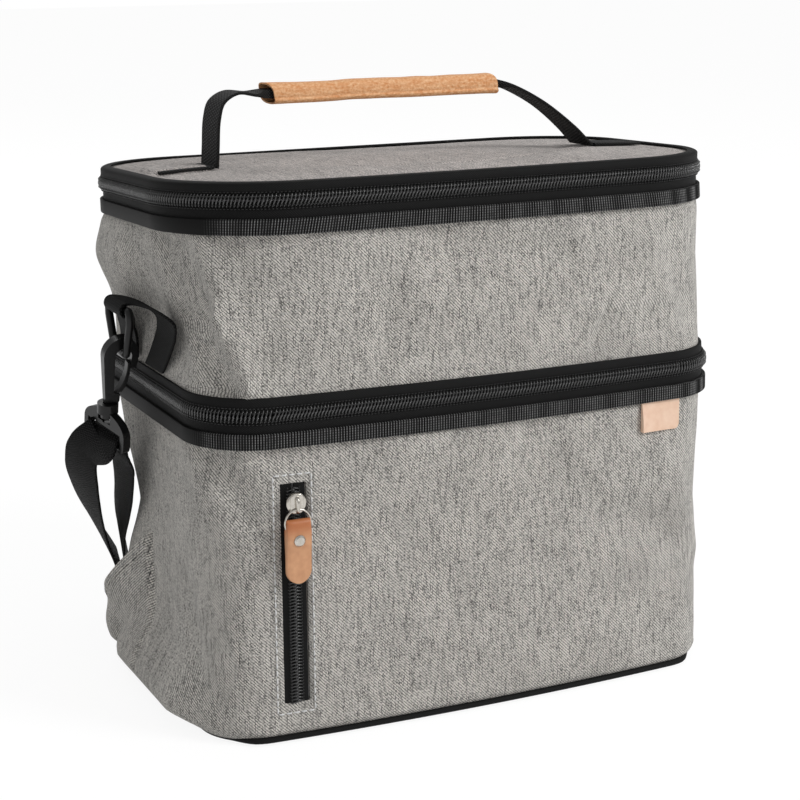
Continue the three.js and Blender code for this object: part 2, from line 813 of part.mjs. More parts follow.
function lid() {
  const underside = topZipHeight - rimDrop + 2 * gap;
  const hidden = fabric + gap;
  const foamLow = underside + liner + gap;
  const foamHigh = lidEdge - fabric - gap;
  piece("lid_liner", crownedBoard(hidden, underside, underside + liner, 0), silverLiner());
  piece("lid_insulation", crownedBoard(hidden, foamLow, foamHigh, 0), whiteFoam());
  piece("lid_panel", crownedBoard(0, lidEdge - fabric, lidEdge, lidCrown), greyFabric());

  const outer = 2 * gap + tape + 0.4;
  const low = lidEdge - bindingHeight + 0.8;
  const high = lidEdge + gap + 0.9;
  const section = [
    [gap, low],
    [outer, low],
    [outer, high - 0.6],
    [outer - 0.6, high],
    [-bindingLip, high + 0.4],
    [-bindingLip, high - 0.5],
    [gap, high - 0.9],
  ];
  piece("lid_binding", strip(section), blackWebbing());
}

const leanSlope = topLean / (2 * topHalfDepth);
const downLid = V(0, 1, -leanSlope);

// Webbing ends sewn flat on the lid, and the free bow of the handle between them
function handle() {
  const near = handleHalfSpan + handleStitch;
  const far = topHalfWidth - bindingLip - handleEndSetIn;
  const flat = (side) => {
    const stops = [0, 0.35, 0.7, 1].map((t) => {
      const x = side * mix(near, far, t);
      return [x, 0, lidTop(x, 0) + gap + webbing / 2 + 0.2, downLid];
    });
    return ribbon(stops, handleWidth, webbing, 2);
  };
  piece("handle_end_left", flat(-1), blackWebbing());
  piece("handle_end_right", flat(1), blackWebbing());

  const foot = lidTop(handleHalfSpan, 0) + gap + webbing / 2;
  const top = foot + handleRise;
  const left = -handleHalfSpan;
  const right = handleHalfSpan;
  const wrapLeft = wrapShift - wrapLength / 2;
  const wrapRight = wrapShift + wrapLength / 2;
  const twisted = V(0.25, 0.95, -0.15);
  const stops = [
    [left, 0, foot, downLid],
    [left + 0.5, 0, foot + 9, downLid],
    [left + 1.5, 0, foot + 22, downLid],
    [left + 4, 0, top - 3, downLid],
    [left + 11, 0, top + 1, downLid],
    [wrapLeft - 6, 0, top, V(0, 1, 0), handleWidth - 3],
    [wrapLeft + 1, 0, top, V(0, 1, 0), foldedWidth, foldedHeight],
    [wrapLeft + wrapLength / 3, 0, top, V(0, 1, 0), foldedWidth, foldedHeight],
    [wrapRight - wrapLength / 3, 0, top, V(0, 1, 0), foldedWidth, foldedHeight],
    [wrapRight - 6, 0, top, V(0, 1, 0), foldedWidth, foldedHeight],
    [wrapRight, 0, top, V(0, 1, 0), foldedWidth, foldedHeight],
    [wrapRight + 8, 0, top - 2, twisted, handleWidth - 3],
    [mix(wrapRight, right, 0.5), 0, top - 11, twisted],
    [mix(wrapRight, right, 0.82), 0, foot + 9, V(0.1, 1, -0.1)],
    [right, 0, foot, downLid],
  ];
  piece("handle_webbing", ribbon(stops, handleWidth, webbing, 4), blackWebbing());

  const outline = roundedRectangle(wrapDepth, wrapHeight, 4);
  outline.holes.push(roundedRectangle(wrapDepth - 2 * wrapWall, wrapHeight - 2 * wrapWall, 3, true));
  const sleeve = plate(outline, wrapLength - 2, acrossX, 4).translate(wrapShift, 0, top);
  piece("handle_wrap", sleeve, cork());
}

// Webbing loop on the side of the upper compartment: both feet in the seam, the ring's bar in its bend.
// It is splayed towards the front on the left and towards the back on the right.
function webbingLoop(name, side, bar) {
  const [wall] = planAt(midZipHeight + tapeAbove);
  const near = wall + gap + webbing / 2 + 0.7;
  const foot = midZipHeight + tapeAbove + 2;
  const round = ringBarRadius + gap + webbing / 2;
  const across = V(0, 1, 0);
  const stop = (out, along, up) => [mix(near, bar.x, out), along * strapWidth, mix(foot, bar.z, up), across];
  const stops = [
    stop(0, -0.64, 0),
    stop(0.07, -1.08, 0.33),
    stop(0.16, -1.6, 0.81),
    stop(0.3, -1.76, 1.04),
    stop(0.5, -1.44, 1.15),
    stop(0.75, -0.56, 1.17),
    ...aroundBar(V(bar.x, 0, bar.z), across, V(1, 0, 0), round, [90, 60, 30, 0, -30, -60, -90, -135]),
    stop(0.45, 0.36, 0.67),
    stop(0.09, 0.68, 0.33),
    stop(0, 0.84, 0),
  ];
  const loop = ribbon(stops, strapWidth, webbing, 4, false);
  if (side > 0) loop.scale(1, -1, 1);
  piece(name, handed(facingOut(loop), side), blackWebbing());
}

// Moulded triangular ring: a straight bar on top and a short bar at its foot
function triangleRing(name, side, bar) {
  const path = new THREE.Path();
  const w = ringHalfWidth;
  const f = ringFootHalfWidth;
  path.moveTo(-w + 2, 0);
  path.lineTo(w - 2, 0);
  path.quadraticCurveTo(w, 0, w, -2);
  path.lineTo(w, -6);
  path.lineTo(f + 1, -ringDrop + 2);
  path.quadraticCurveTo(f, -ringDrop, f - 2, -ringDrop);
  path.lineTo(-f + 2, -ringDrop);
  path.quadraticCurveTo(-f, -ringDrop, -f - 1, -ringDrop + 2);
  path.lineTo(-w, -6);
  path.lineTo(-w, -2);
  path.quadraticCurveTo(-w, 0, -w + 2, 0);
  const points = path.getPoints(3).slice(0, -1);
  const line = points.map((p) => V(bar.x, p.x, bar.z + p.y));
  piece(name, handed(wireLoop(line, V(1, 0, 0), ringBarRadius), side), blackPlastic());
}

// The hook and its swivel base hang from the ring's foot bar and lean back with the pull of the strap
function leaned(geometry, bar) {
  const z = bar.z - ringDrop;
  geometry.translate(0, 0, -z).rotateX(THREE.MathUtils.degToRad(hookLean));
  return geometry.translate(0, hookY, z);
}

// Snap hook drawn in the plane across the ring's foot bar, with a neck and head for the swivel
function snapHook(side, name, bar) {
  const arcZ = bar.z - ringDrop + ringBarRadius + hookPlay - throatRadius;
  const shankIn = throatRadius;
  const shankOut = throatRadius + hookWidth;
  const blockLow = arcZ - hookShank;
  const blockTop = blockLow + 5;
  const tipLow = arcZ - 6;
  const outline = new THREE.Shape();
  outline.moveTo(shankOut, blockLow);
  outline.lineTo(shankOut, arcZ);
  outline.absarc(0, arcZ, shankOut, 0, Math.PI * 0.6);
  outline.quadraticCurveTo(-throatRadius - hookTip, arcZ + 6, -throatRadius - hookTip, arcZ);
  outline.lineTo(-throatRadius - hookTip + 0.6, tipLow);
  outline.lineTo(-throatRadius, tipLow);
  outline.lineTo(-throatRadius, arcZ);
  outline.absarc(0, arcZ, throatRadius, Math.PI, 0, true);
  outline.lineTo(shankIn, blockTop);
  outline.lineTo(shankIn - 4.6, blockTop - 1);
  outline.lineTo(shankIn - 4.6, blockLow + 1);
  outline.quadraticCurveTo(shankIn - 4.6, blockLow, shankIn - 3.6, blockLow);
  const body = plate(outline, hookThickness, acrossY, 7).translate(bar.x, 0, 0);
  const shaftX = bar.x + (shankIn + shankOut) / 2 - 0.6;
  const collarTop = blockLow - gap;
  const collarLow = collarTop - collarHeight;
  const neck = upright(neckRadius, collarLow - 1.2, blockLow + 2, shaftX, 0, 12);
  const head = upright(neckRadius + 1.3, collarLow - 2.6, collarLow - gap, shaftX, 0, 12);
  piece(name, handed(leaned(join(body, neck, head), bar), side), blackPlastic());
  return { bar, tipLow, blockTop, shaftX, collarTop, collarLow };
}

// Sprung gate that closes the hook's mouth from the foot of the shank to the tip
function hookGate(side, name, hook) {
  const foot = { x: hook.bar.x + throatRadius - 2.4, z: hook.blockTop + gap };
  const end = { x: hook.bar.x - throatRadius + gap, z: hook.tipLow + 2.5 };
  const t = gateThickness;
  const outline = new THREE.Shape();
  outline.moveTo(foot.x - t, foot.z);
  outline.quadraticCurveTo(end.x, mix(foot.z, end.z, 0.3), end.x, end.z);
  outline.lineTo(end.x + t, end.z);
  outline.quadraticCurveTo(end.x + t, mix(foot.z, end.z, 0.4), foot.x + t, foot.z);
  const leaf = plate(outline, hookThickness - 1, acrossY, 6);
  piece(name, handed(leaned(leaf, hook.bar), side), blackPlastic());
}

// Swivel base: a collar round the hook's neck over a frame with a slot for the strap
function swivelBase(side, name, hook) {
  const top = hook.collarLow;
  const windowHeight = 4.6;
  const windowLow = top - windowHeight;
  const slotTop = windowLow - 2.2;
  const barZ = slotTop - slotHeight - frameBarRadius;
  const frame = new THREE.Shape();
  const w = baseHalfSpan;
  frame.moveTo(-collarRadius, top + 1);
  frame.quadraticCurveTo(-w + 1, top - 1, -w, slotTop);
  frame.lineTo(-w, barZ + frameBarRadius);
  frame.quadraticCurveTo(-w, barZ - frameBarRadius, -w + 2.5, barZ - frameBarRadius);
  frame.lineTo(w - 2.5, barZ - frameBarRadius);
  frame.quadraticCurveTo(w, barZ - frameBarRadius, w, barZ + frameBarRadius);
  frame.lineTo(w, slotTop);
  frame.quadraticCurveTo(w - 1, top - 1, collarRadius, top + 1);
  const slot = box(20, 2 * w - 6.4, slotTop - barZ + 6, 0, 0, (slotTop + barZ - 6) / 2);
  const window = box(20, 10, windowHeight, 0, 0, windowLow + windowHeight / 2);
  const bore = upright(neckRadius + gap, windowLow - 0.5, hook.collarTop + 1, 0, 0, 16);
  const sheet = plate(frame, baseThickness, acrossX, 6);
  const collar = upright(collarRadius, top, hook.collarTop, 0, 0, 20);
  const shell = cut(join(sheet, collar), slot, window, bore);
  const rod = alongY(frameBarRadius, 2 * w - 5, 0, 0, barZ);
  const turn = THREE.MathUtils.degToRad(swivelTurn);
  const made = join(shell, rod).rotateZ(-turn).translate(hook.shaftX, 0, 0);
  piece(name, handed(leaned(made, hook.bar), side), blackPlastic());

  const tilt = THREE.MathUtils.degToRad(hookLean);
  const pivotZ = hook.bar.z - ringDrop;
  return {
    at: V(hook.shaftX, hookY - (barZ - pivotZ) * Math.sin(tilt), pivotZ + (barZ - pivotZ) * Math.cos(tilt)),
    along: V(Math.sin(turn), Math.cos(turn) * Math.cos(tilt), Math.cos(turn) * Math.sin(tilt)),
  };
}

function strapHardware(side, word) {
  const [wall] = planAt(midZipHeight);
  const bar = { x: wall + ringStandOff, z: midZipHeight + ringBarAbove };
  webbingLoop(word + "_strap_loop", side, bar);
  triangleRing(word + "_ring", side, bar);
  const hook = snapHook(side, word + "_hook", bar);
  hookGate(side, word + "_gate", hook);
  return swivelBase(side, word + "_swivel_base", hook);
}

// One length of webbing: sewn to the adjuster, round the left bar, back through the adjuster behind
// the bag, and round the right bar, where its end is folded back and sewn
function shoulderStrap(bar) {
  const round = frameBarRadius + 2 * gap + webbing / 2;
  const below = round * Math.SQRT2;
  const across = V(0, 1, 0);
  const low = 1.5 * gap + webbing / 2;
  const y = strapBehind;
  const left = adjusterX - adjusterPitch;
  const turn = adjusterBarRadius + gap + webbing / 2;
  const mirror = (v) => V(-v.x, v.y, v.z);
  const leftBar = [mirror(bar.at), mirror(bar.along), V(-1, 0, 0)];
  const rightBar = [bar.at, bar.along, V(1, 0, 0)];
  const rearBar = (x) => [V(x, y, adjusterHeight), across, V(1, 0, 0)];
  const place = (x, y, z, turned) => [x * baseHalfWidth, y * strapBehind, z * bar.at.z, turned];
  // The run towards the back, further out, which both bars have; the webbing twists on its way down
  const outerRun = (side) => [
    place(1.181 * side, 0.187, 0.918, V(0.45 * side, 0.88, 0.12)),
    place(1.165 * side, 0.301, 0.812, V(0.36 * side, 0.92, 0.15)),
    place(1.126 * side, 0.421, 0.694, V(0.22 * side, 0.93, 0.2)),
    place(1.077 * side, 0.539, 0.58, V(0.1 * side, 0.95, 0.2)),
    place(1.018 * side, 0.655, 0.463, V(-0.02 * side, 0.95, 0.25)),
    place(0.956 * side, 0.762, 0.359, V(-0.1 * side, 0.9, 0.4)),
    place(0.894 * side, 0.868, 0.248, V(-0.12 * side, 0.85, 0.45)),
    place(0.834 * side, 0.973, 0.117, V(-0.05 * side, 0.95, 0.3)),
    place(0.738 * side, 1, 0.031, across),
  ];
  const stops = [
    [left - 12, y, adjusterHeight - turn, across],
    ...aroundBar(...rearBar(left), turn, [-90, -60, -30, 0, 30, 60, 90]),
    [left - 14, y, adjusterHeight + 0.6, across],
    [left - 32, y, adjusterHeight - turn + 0.9, across],
    place(-0.76, 0.98, 0.064, across),
    place(-0.83, 0.89, 0.17, V(0.1, 0.85, 0.5)),
    place(-0.913, 0.71, 0.36, V(0.18, 0.72, 0.65)),
    place(-0.947, 0.623, 0.443, V(0.12, 0.77, 0.62)),
    place(-0.975, 0.518, 0.552, V(0.08, 0.8, 0.6)),
    place(-0.996, 0.393, 0.667, V(0, 0.83, 0.55)),
    place(-1.018, 0.286, 0.766, V(-0.08, 0.86, 0.5)),
    place(-1.052, 0.161, 0.886, V(-0.12, 0.9, 0.4)),
    ...aroundBar(...leftBar, 2.2 * round, [238]),
    ...aroundBar(...leftBar, below, [225]),
    ...aroundBar(...leftBar, round, [180, 150, 120, 90, 60, 30, 0]),
    ...aroundBar(...leftBar, below, [-45]),
    ...outerRun(-1),
    [left - 30, y, low + 0.2, across],
    [left, y, low, across],
    [adjusterX - 4.6, y, low + 0.65, across],
    ...aroundBar(...rearBar(adjusterX), turn, [190, 150, 120, 90, 60, 30, -10]),
    [adjusterX + 4.6, y, low + 0.65, across],
    [adjusterX + adjusterPitch, y, low, across],
    [adjusterX + 2.4 * adjusterPitch, y, low, across],
    place(0.074, 1.018, 0, across),
    place(0.443, 1, 0, across),
    ...outerRun(1).reverse(),
    ...aroundBar(...rightBar, below, [-45]),
    ...aroundBar(...rightBar, round, [0, 30, 60, 90, 120, 150, 180]),
    ...aroundBar(...rightBar, below, [225]),
    ...aroundBar(...rightBar, 2.2 * round, [238]),
    place(1.114, 0.098, 0.913, V(0.2, 1, 0.1)),
    place(1.125, 0.161, 0.843, V(0.2, 1, 0.1)),
  ];
  stops.forEach((stop) => {
    stop[2] = Math.max(stop[2], low);
  });
  piece("shoulder_strap", ribbon(stops, strapWidth, webbing, 3), blackWebbing());

  const railY = strapWidth / 2 + gap + 0.7 + adjusterRail / 2;
  const railLength = 2 * adjusterPitch + 2 * adjusterBarRadius;
  const rails = [-railY, railY].map((shift) =>
    box(railLength, adjusterRail, 2 * adjusterBarRadius, adjusterX, y + shift, adjusterHeight),
  );
  const bars = [-adjusterPitch, 0, adjusterPitch].map((shift) =>
    alongY(adjusterBarRadius, 2 * railY, adjusterX + shift, y, adjusterHeight),
  );
  piece("strap_adjuster", join(...rails, ...bars), blackPlastic());
}

// Slider of a main zip on the right side, with a flat pull that turns on its upright pin
function zipRunner(name, z, slope) {
  const at = rightSidePoint(runnerY, z);
  const set = (geometry) => geometry.rotateX(-Math.atan(slope)).translate(at.x, at.y, at.z);
  const faceOut = 3 * gap + tape + coilDepth;
  const outline = roundedRectangle(runnerLength, 2 * runnerHalfHeight, 2);
  const outerPlate = plate(outline, runnerPlate, acrossX).translate(faceOut + runnerPlate / 2, 0, 0);
  const innerOutline = roundedRectangle(runnerLength, 2 * (rimDrop - 0.8), 2);
  const innerPlate = plate(innerOutline, 1, acrossX).translate(-0.5 - 0.05, 0, 0);
  const web = box(faceOut + 1, 2.5, zipGap - 2 * gap, faceOut / 2, runnerLength / 2 - 1.5, 0);
  const face = faceOut + runnerPlate;
  const posts = [-archHalfLength, archHalfLength].map((y) =>
    box(archRise, archBar, archHeight, face + archRise / 2 - 0.1, y, 0),
  );
  const roof = box(archRoof, 2 * archHalfLength + archBar, archHeight, face + archRise, 0, 0);
  piece(name + "_slider", set(join(outerPlate, innerPlate, web, ...posts, roof)), blackPlastic());

  // The pull's pin lies halfway between the plate and the arch's roof, so that it turns freely
  const pinOut = face + (archRise - archRoof / 2) / 2;
  const pinHalf = archBar / 2 - 0.1;
  const w = pullWidth / 2;
  const shape = new THREE.Shape();
  shape.moveTo(-pinHalf, -w);
  shape.lineTo(pullLength - w, -w);
  shape.absarc(pullLength - w, 0, w, -Math.PI / 2, Math.PI / 2);
  shape.lineTo(-pinHalf, w);
  const slotHalf = archHeight / 2 + gap;
  const slotEnd = archHalfLength + archBar;
  const slot = new THREE.Path();
  slot.moveTo(pinHalf, -slotHalf);
  slot.lineTo(pinHalf, slotHalf);
  slot.lineTo(slotEnd, slotHalf);
  slot.lineTo(slotEnd, -slotHalf);
  shape.holes.push(slot);
  const pull = plate(shape, 1, acrossX, 5).translate(pinOut, 0, 0);
  piece(name + "_pull", set(pull), blackPlastic());
}

const zipFrom = 1;
const zipTo = stations - 1;

lowerCompartment();
pocketZip();
pocketPull(pocketSlider());
sidePocket("left_pocket", -1);
sidePocket("right_pocket", 1);
label();
zipBand("lower_band", midZipHeight, zipFrom, zipTo);
zipLower("mid", midZipHeight, zipFrom, zipTo);
zipUpper("mid", midZipHeight, tapeAbove, zipFrom, zipTo);
fabricHinge("mid", midZipHeight, hingeReach);

upperCompartment();
zipBand("upper_band", topZipHeight, zipFrom, zipTo);
zipLower("top", topZipHeight, zipFrom, zipTo);
zipUpper("top", topZipHeight, coilHeight + zipGap / 2, zipFrom, zipTo);
fabricHinge("top", topZipHeight, coilHeight + zipGap / 2);
lid();
handle();

const frameBar = strapHardware(-1, "left");
strapHardware(1, "right");
shoulderStrap(frameBar);
zipRunner("mid", midZipHeight, 0);
zipRunner("top", topZipHeight, leanSlope);

export default root;
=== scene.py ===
import bpy
import bmesh
import numpy as np
from math import radians
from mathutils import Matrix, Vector


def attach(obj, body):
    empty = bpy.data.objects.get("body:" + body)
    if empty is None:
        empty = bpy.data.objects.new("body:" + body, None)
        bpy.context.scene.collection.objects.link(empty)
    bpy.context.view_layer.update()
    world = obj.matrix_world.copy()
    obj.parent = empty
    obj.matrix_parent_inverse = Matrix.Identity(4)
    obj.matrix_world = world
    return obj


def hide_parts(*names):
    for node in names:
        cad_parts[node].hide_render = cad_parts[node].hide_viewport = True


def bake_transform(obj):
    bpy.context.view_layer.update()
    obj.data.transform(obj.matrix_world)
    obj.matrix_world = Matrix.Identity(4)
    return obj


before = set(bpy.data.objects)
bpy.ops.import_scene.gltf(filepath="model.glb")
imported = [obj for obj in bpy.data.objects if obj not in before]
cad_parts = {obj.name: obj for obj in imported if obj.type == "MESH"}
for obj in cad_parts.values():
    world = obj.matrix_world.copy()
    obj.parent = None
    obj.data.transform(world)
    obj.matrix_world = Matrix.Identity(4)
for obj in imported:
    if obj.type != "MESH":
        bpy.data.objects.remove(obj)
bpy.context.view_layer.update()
mm = 0.001
fullTurn = 6.28318

# Shapes below are worked out in millimetres, in the bag's own frame: +X right, -Y front, +Z up

bag = {
    "baseHalfWidth": 135.5, "baseHalfDepth": 84,
    "midHalfWidth": 133.5, "midHalfDepth": 82,
    "topHalfWidth": 138.4, "topHalfDepth": 80.5,
    "frontRadius": 28, "frontRadiusTop": 53,
    "rearRadius": 36, "rearRadiusTop": 47,
    "frontBow": 6, "sideDip": 3, "rearSlack": 20, "upperSlack": 0.3,
    "midZip": 155, "topZip": 249.5, "topLean": 8,
    "fabric": 1.5, "foam": 5, "liner": 0.8, "gap": 0.3, "heel": 5.8, "upperHeel": 2,
    "rimDrop": 5, "bandBottom": 15,
}
lowerLevels = [bag["heel"], 0.55 * bag["midZip"], bag["midZip"] - bag["bandBottom"]]
upperLevels = [
    bag["midZip"] + bag["rimDrop"] + 2,
    bag["midZip"] + 0.55 * (bag["topZip"] - bag["midZip"]),
    bag["topZip"] - bag["bandBottom"],
]
rearEnd, cornerEnd, sideEnd, frontStart, half = 2, 8, 11, 17, 21  # stations from the back's middle
hingeHalfWidth = 68


def lerp(a, b, t):
    return a + (b - a) * t


def ease(t):  # three t squared less two t cubed, held at 0 and 1
    t = np.clip(t, 0, 1)
    return t * t * (3 - 2 * t)


def planAt(z):  # half width, half depth and corner radii, straight lines from base to zip to zip
    low = np.clip(z / bag["midZip"], 0, 1)
    high = np.clip((z - bag["midZip"]) / (bag["topZip"] - bag["midZip"]), 0, 1)
    upper = z > bag["midZip"]
    both = lambda base, mid, top: np.where(upper, lerp(mid, top, high), lerp(base, mid, low))
    return (
        both(bag["baseHalfWidth"], bag["midHalfWidth"], bag["topHalfWidth"]),
        both(bag["baseHalfDepth"], bag["midHalfDepth"], bag["topHalfDepth"]),
        both(bag["frontRadius"], bag["frontRadius"], bag["frontRadiusTop"]),
        both(bag["rearRadius"], bag["rearRadius"], bag["rearRadiusTop"]),
    )


def slackAt(z):  # a tent that is 0 at a floor and at the band above it and 1 between them
    lower = np.interp(z, lowerLevels, [0, 1, 0])
    upper = bag["upperSlack"] * np.interp(z, upperLevels, [0, 1, 0])
    return np.where(z < bag["midZip"], lower, upper)


def leanAt(y, z):  # how far a point sinks, by its share of the upper height times its share of the depth
    up = np.clip((z - bag["midZip"]) / (bag["topZip"] - bag["midZip"]), 0, 1)
    return bag["topLean"] * up * (y + bag["topHalfDepth"]) / (2 * bag["topHalfDepth"])


# The bag's wall at station u, height z: straight runs joined by quarter circles, the front bowed by a
# parabola, both sides mirrored. inset moves the whole outline inwards, and straightFrom is the x from
# which the front's columns stand upright
def wallPoint(u, z, inset=0.0, straightFrom=None):
    u, z, inset = np.broadcast_arrays(np.asarray(u, float), np.asarray(z, float), np.asarray(inset, float))
    width, depth, frontCorner, rearCorner = planAt(z)
    slack = slackAt(z)
    a = width - inset - bag["sideDip"] * slack
    b = depth - inset
    front = frontCorner - inset
    rear = rearCorner - inset + bag["rearSlack"] * slack
    s = np.mod(u, 2 * half)
    mirror = s > half
    s = np.where(mirror, 2 * half - s, s)
    rearX = np.where(s <= 1, -hingeHalfWidth * s, -lerp(hingeHalfWidth, a - rear, s - 1))
    rearAngle = np.pi / 2 * (1 + np.clip((s - rearEnd) / (cornerEnd - rearEnd), 0, 1))
    sideY = lerp(b - rear, front - b, (s - cornerEnd) / (sideEnd - cornerEnd))
    frontAngle = np.pi + np.pi / 2 * np.clip((s - sideEnd) / (frontStart - sideEnd), 0, 1)
    t = (s - frontStart) / (half - frontStart)
    frontX = lerp(front - a, 0, t)
    if straightFrom:  # the first quarter of the stations leads up to that x
        upright = -straightFrom * (1 - (t - 0.25) / 0.75)
        frontX = np.where(t < 0.25, lerp(front - a, -straightFrom, t * 4), upright)
    rearArcX, rearArcY = rear - a + rear * np.cos(rearAngle), b - rear + rear * np.sin(rearAngle)
    frontArcX, frontArcY = front - a + front * np.cos(frontAngle), front - b + front * np.sin(frontAngle)
    runs = [s <= rearEnd, s <= cornerEnd, s <= sideEnd, s <= frontStart]
    x = np.select(runs, [rearX, rearArcX, -a, frontArcX], frontX)
    y = np.select(runs, [b, rearArcY, sideY, frontArcY], -b)
    y = np.where(y < 0, y - bag["frontBow"] * (1 - (x / a) ** 2), y)
    return np.stack([np.where(mirror, -x, x), y, z - leanAt(y, z)], -1)


def frontY(x, z, out):  # the front wall's y, a parabola across its width
    width, depth, _, _ = planAt(np.asarray(z, float))
    return -depth - out - bag["frontBow"] * (1 - (x / (width + out)) ** 2)


# Stations for a smooth outline, with more of them on the corners
def outlineStations():
    counts = [14, 16, 22, 16, 44]
    ends = [0, rearEnd, cornerEnd, sideEnd, frontStart, half]
    runs = [np.linspace(a, b, n, endpoint=False) for n, a, b in zip(counts, ends, ends[1:])]
    one = np.concatenate(runs)
    return np.concatenate([one, [half], 2 * half - one[1:][::-1]])


def lattice(a, b, size, seed):  # smooth noise from -1 to 1: eased bilinear mix of a seeded lattice
    rng = np.random.RandomState(seed).uniform(-1, 1, (64, 64))
    p, q = np.asarray(a) / size, np.asarray(b) / size
    i, j = np.floor(p).astype(int), np.floor(q).astype(int)
    s, t = ease(p - i), ease(q - j)
    at = lambda k, m: rng[k % 64, m % 64]
    return lerp(lerp(at(i, j), at(i + 1, j), s), lerp(at(i, j + 1), at(i + 1, j + 1), s), t)


def unit(vectors):
    return vectors / np.linalg.norm(vectors, axis=-1, keepdims=True)


def arcLength(points):  # running length along rows of points, starting at 0
    steps = np.linalg.norm(np.diff(points, axis=0), axis=-1)
    return np.concatenate([np.zeros((1,) + steps.shape[1:]), np.cumsum(steps, axis=0)])


# Faces of a grid of n by m points, with the grid place of each corner for its uv
def gridFaces(n, m, around=False, across=False):
    i, j = np.meshgrid(np.arange(n if around else n - 1), np.arange(m if across else m - 1), indexing="ij")
    i, j = i.ravel(), j.ravel()
    corners = [(i, j), (i + 1, j), (i + 1, j + 1), (i, j + 1)]
    faces = np.stack([(p % n) * m + (q % m) for p, q in corners], 1)
    places = np.stack([np.stack(c, 1) for c in corners], 1)
    return faces, places


def signedVolume(points, faces):  # six times the volume that the faces enclose, negative inside out
    centred = points - points.mean(0)
    a, b, c, d = (centred[faces[:, k]] for k in range(4))
    return np.einsum("ij,ij->i", a, np.cross(b, c)).sum() + np.einsum("ij,ij->i", a, np.cross(c, d)).sum()


# A mesh whose faces point outwards, with uv in millimetres and edges sharper than an angle kept sharp
def buildMesh(name, points, faces, uv, caps=(), weld=False, sharp=40):
    if signedVolume(points, faces) < 0:
        faces, uv = faces[:, ::-1], uv[:, ::-1]
        caps = [cap[::-1] for cap in caps]
    mesh = bpy.data.meshes.new(name)
    mesh.from_pydata((points * mm).tolist(), [], faces.tolist() + [list(c) for c in caps])
    layer = mesh.uv_layers.new(name="cloth")
    flat = np.zeros((len(mesh.loops), 2), np.float32)
    flat[: uv.shape[0] * 4] = uv.reshape(-1, 2)
    layer.data.foreach_set("uv", flat.ravel())
    if weld:
        work = bmesh.new()
        work.from_mesh(mesh)
        bmesh.ops.remove_doubles(work, verts=work.verts, dist=1e-6)
        work.to_mesh(mesh)
        work.free()
    mesh.polygons.foreach_set("use_smooth", [True] * len(mesh.polygons))
    mesh.set_sharp_from_angle(angle=radians(sharp))
    return mesh


def addPiece(mesh, material, body=None, replaces=()):
    piece = bpy.data.objects.new(mesh.name, mesh)
    bpy.context.scene.collection.objects.link(piece)
    mesh.materials.append(material)
    if body:
        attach(piece, body)
    if replaces:
        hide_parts(*replaces)
    return piece


# A surface from a grid of points, n rows of m: around joins the last row to the first, across each row's
# end to its start, and capped closes the end rows. uv is the distance along the middle column and the
# middle row; lined names a column from which every row is measured instead, so that threads keep their
# width, and flat gives the first rows two of their own coordinates. skip leaves faces out
def addGrid(name, grid, material, body=None, around=False, across=False, capped=False, weld=False, sharp=40,
            replaces=(), skip=None, uStart=0.0, turned=False, lined=None, flat=(0, (0, 1))):
    n, m = grid.shape[:2]
    faces, places = gridFaces(n, m, around, across)
    along = arcLength(np.concatenate([grid, grid[:1]]) if around else grid)
    side = arcLength(np.moveaxis(np.concatenate([grid, grid[:, :1]], 1) if across else grid, 1, 0))
    u = along[:, m // 2]
    v = side[:, n // 2]
    uv = np.stack([u[places[..., 0]] + uStart, v[places[..., 1]]], -1)
    if lined is not None:
        uv[..., 1] = (side - side[lined])[places[..., 1], places[..., 0]]
    uv = uv[..., ::-1] if turned else uv
    rows, axes = flat
    plain = places[..., 0].max(1) < rows
    uv[plain] = grid[places[plain, :, 0], places[plain, :, 1] % m][..., axes]
    if skip is not None:
        kept = ~skip[places[:, 0, 0], places[:, 0, 1]]
        faces, uv = faces[kept], uv[kept]
    caps = []
    if capped:
        caps = [list(range(m)), list(range((n - 1) * m, n * m))[::-1]][: 1 if capped == "start" else 2]
    mesh = buildMesh(name, grid.reshape(-1, 3), faces, uv, caps, weld, sharp)
    return addPiece(mesh, material, body, replaces)


def thicken(piece, thickness):
    wall = piece.modifiers.new("wall", "SOLIDIFY")
    wall.thickness = thickness * mm
    wall.offset = -1
    wall.use_even_offset = True


def soften(piece, width, segments=2, angle=35):
    edge = piece.modifiers.new("edge", "BEVEL")
    edge.width = width * mm
    edge.segments = segments
    edge.limit_method = "ANGLE"
    edge.angle_limit = radians(angle)
    edge.harden_normals = True


view = {
    "place": (-418.13, -874.10, 376.37), "target": (7.85, 0, 129.67), "lens": 89.55, "sensor": 36,
    "shift": (-0.0229, 0.0012),
}


def addCamera():
    data = bpy.data.cameras.new("camera")
    data.lens = view["lens"]
    data.sensor_width = view["sensor"]
    data.shift_x, data.shift_y = view["shift"]
    data.clip_end = 20
    camera = bpy.data.objects.new("camera", data)
    bpy.context.scene.collection.objects.link(camera)
    place, target = np.array(view["place"]) * mm, np.array(view["target"]) * mm
    camera.location = place
    camera.rotation_euler = Vector(target - place).to_track_quat("-Z", "Y").to_euler()
    bpy.context.scene.camera = camera


addCamera()
print("camera set")


# Node helpers: a socket given as an input's value is linked, anything else is set
def addNode(tree, kind, inputs={}, **settings):
    made = tree.nodes.new(kind)
    for key, value in settings.items():
        setattr(made, key, value)
    for key, value in inputs.items():
        if isinstance(value, bpy.types.NodeSocket):
            tree.links.new(value, made.inputs[key])
        else:
            made.inputs[key].default_value = value
    return made


def maths(tree, operation, a, b=0.0, clamp=False):
    return addNode(tree, "ShaderNodeMath", {0: a, 1: b}, operation=operation, use_clamp=clamp).outputs[0]


def scaleVector(tree, vector, factor):
    return addNode(tree, "ShaderNodeVectorMath", {0: vector, 3: factor}, operation="SCALE").outputs[0]


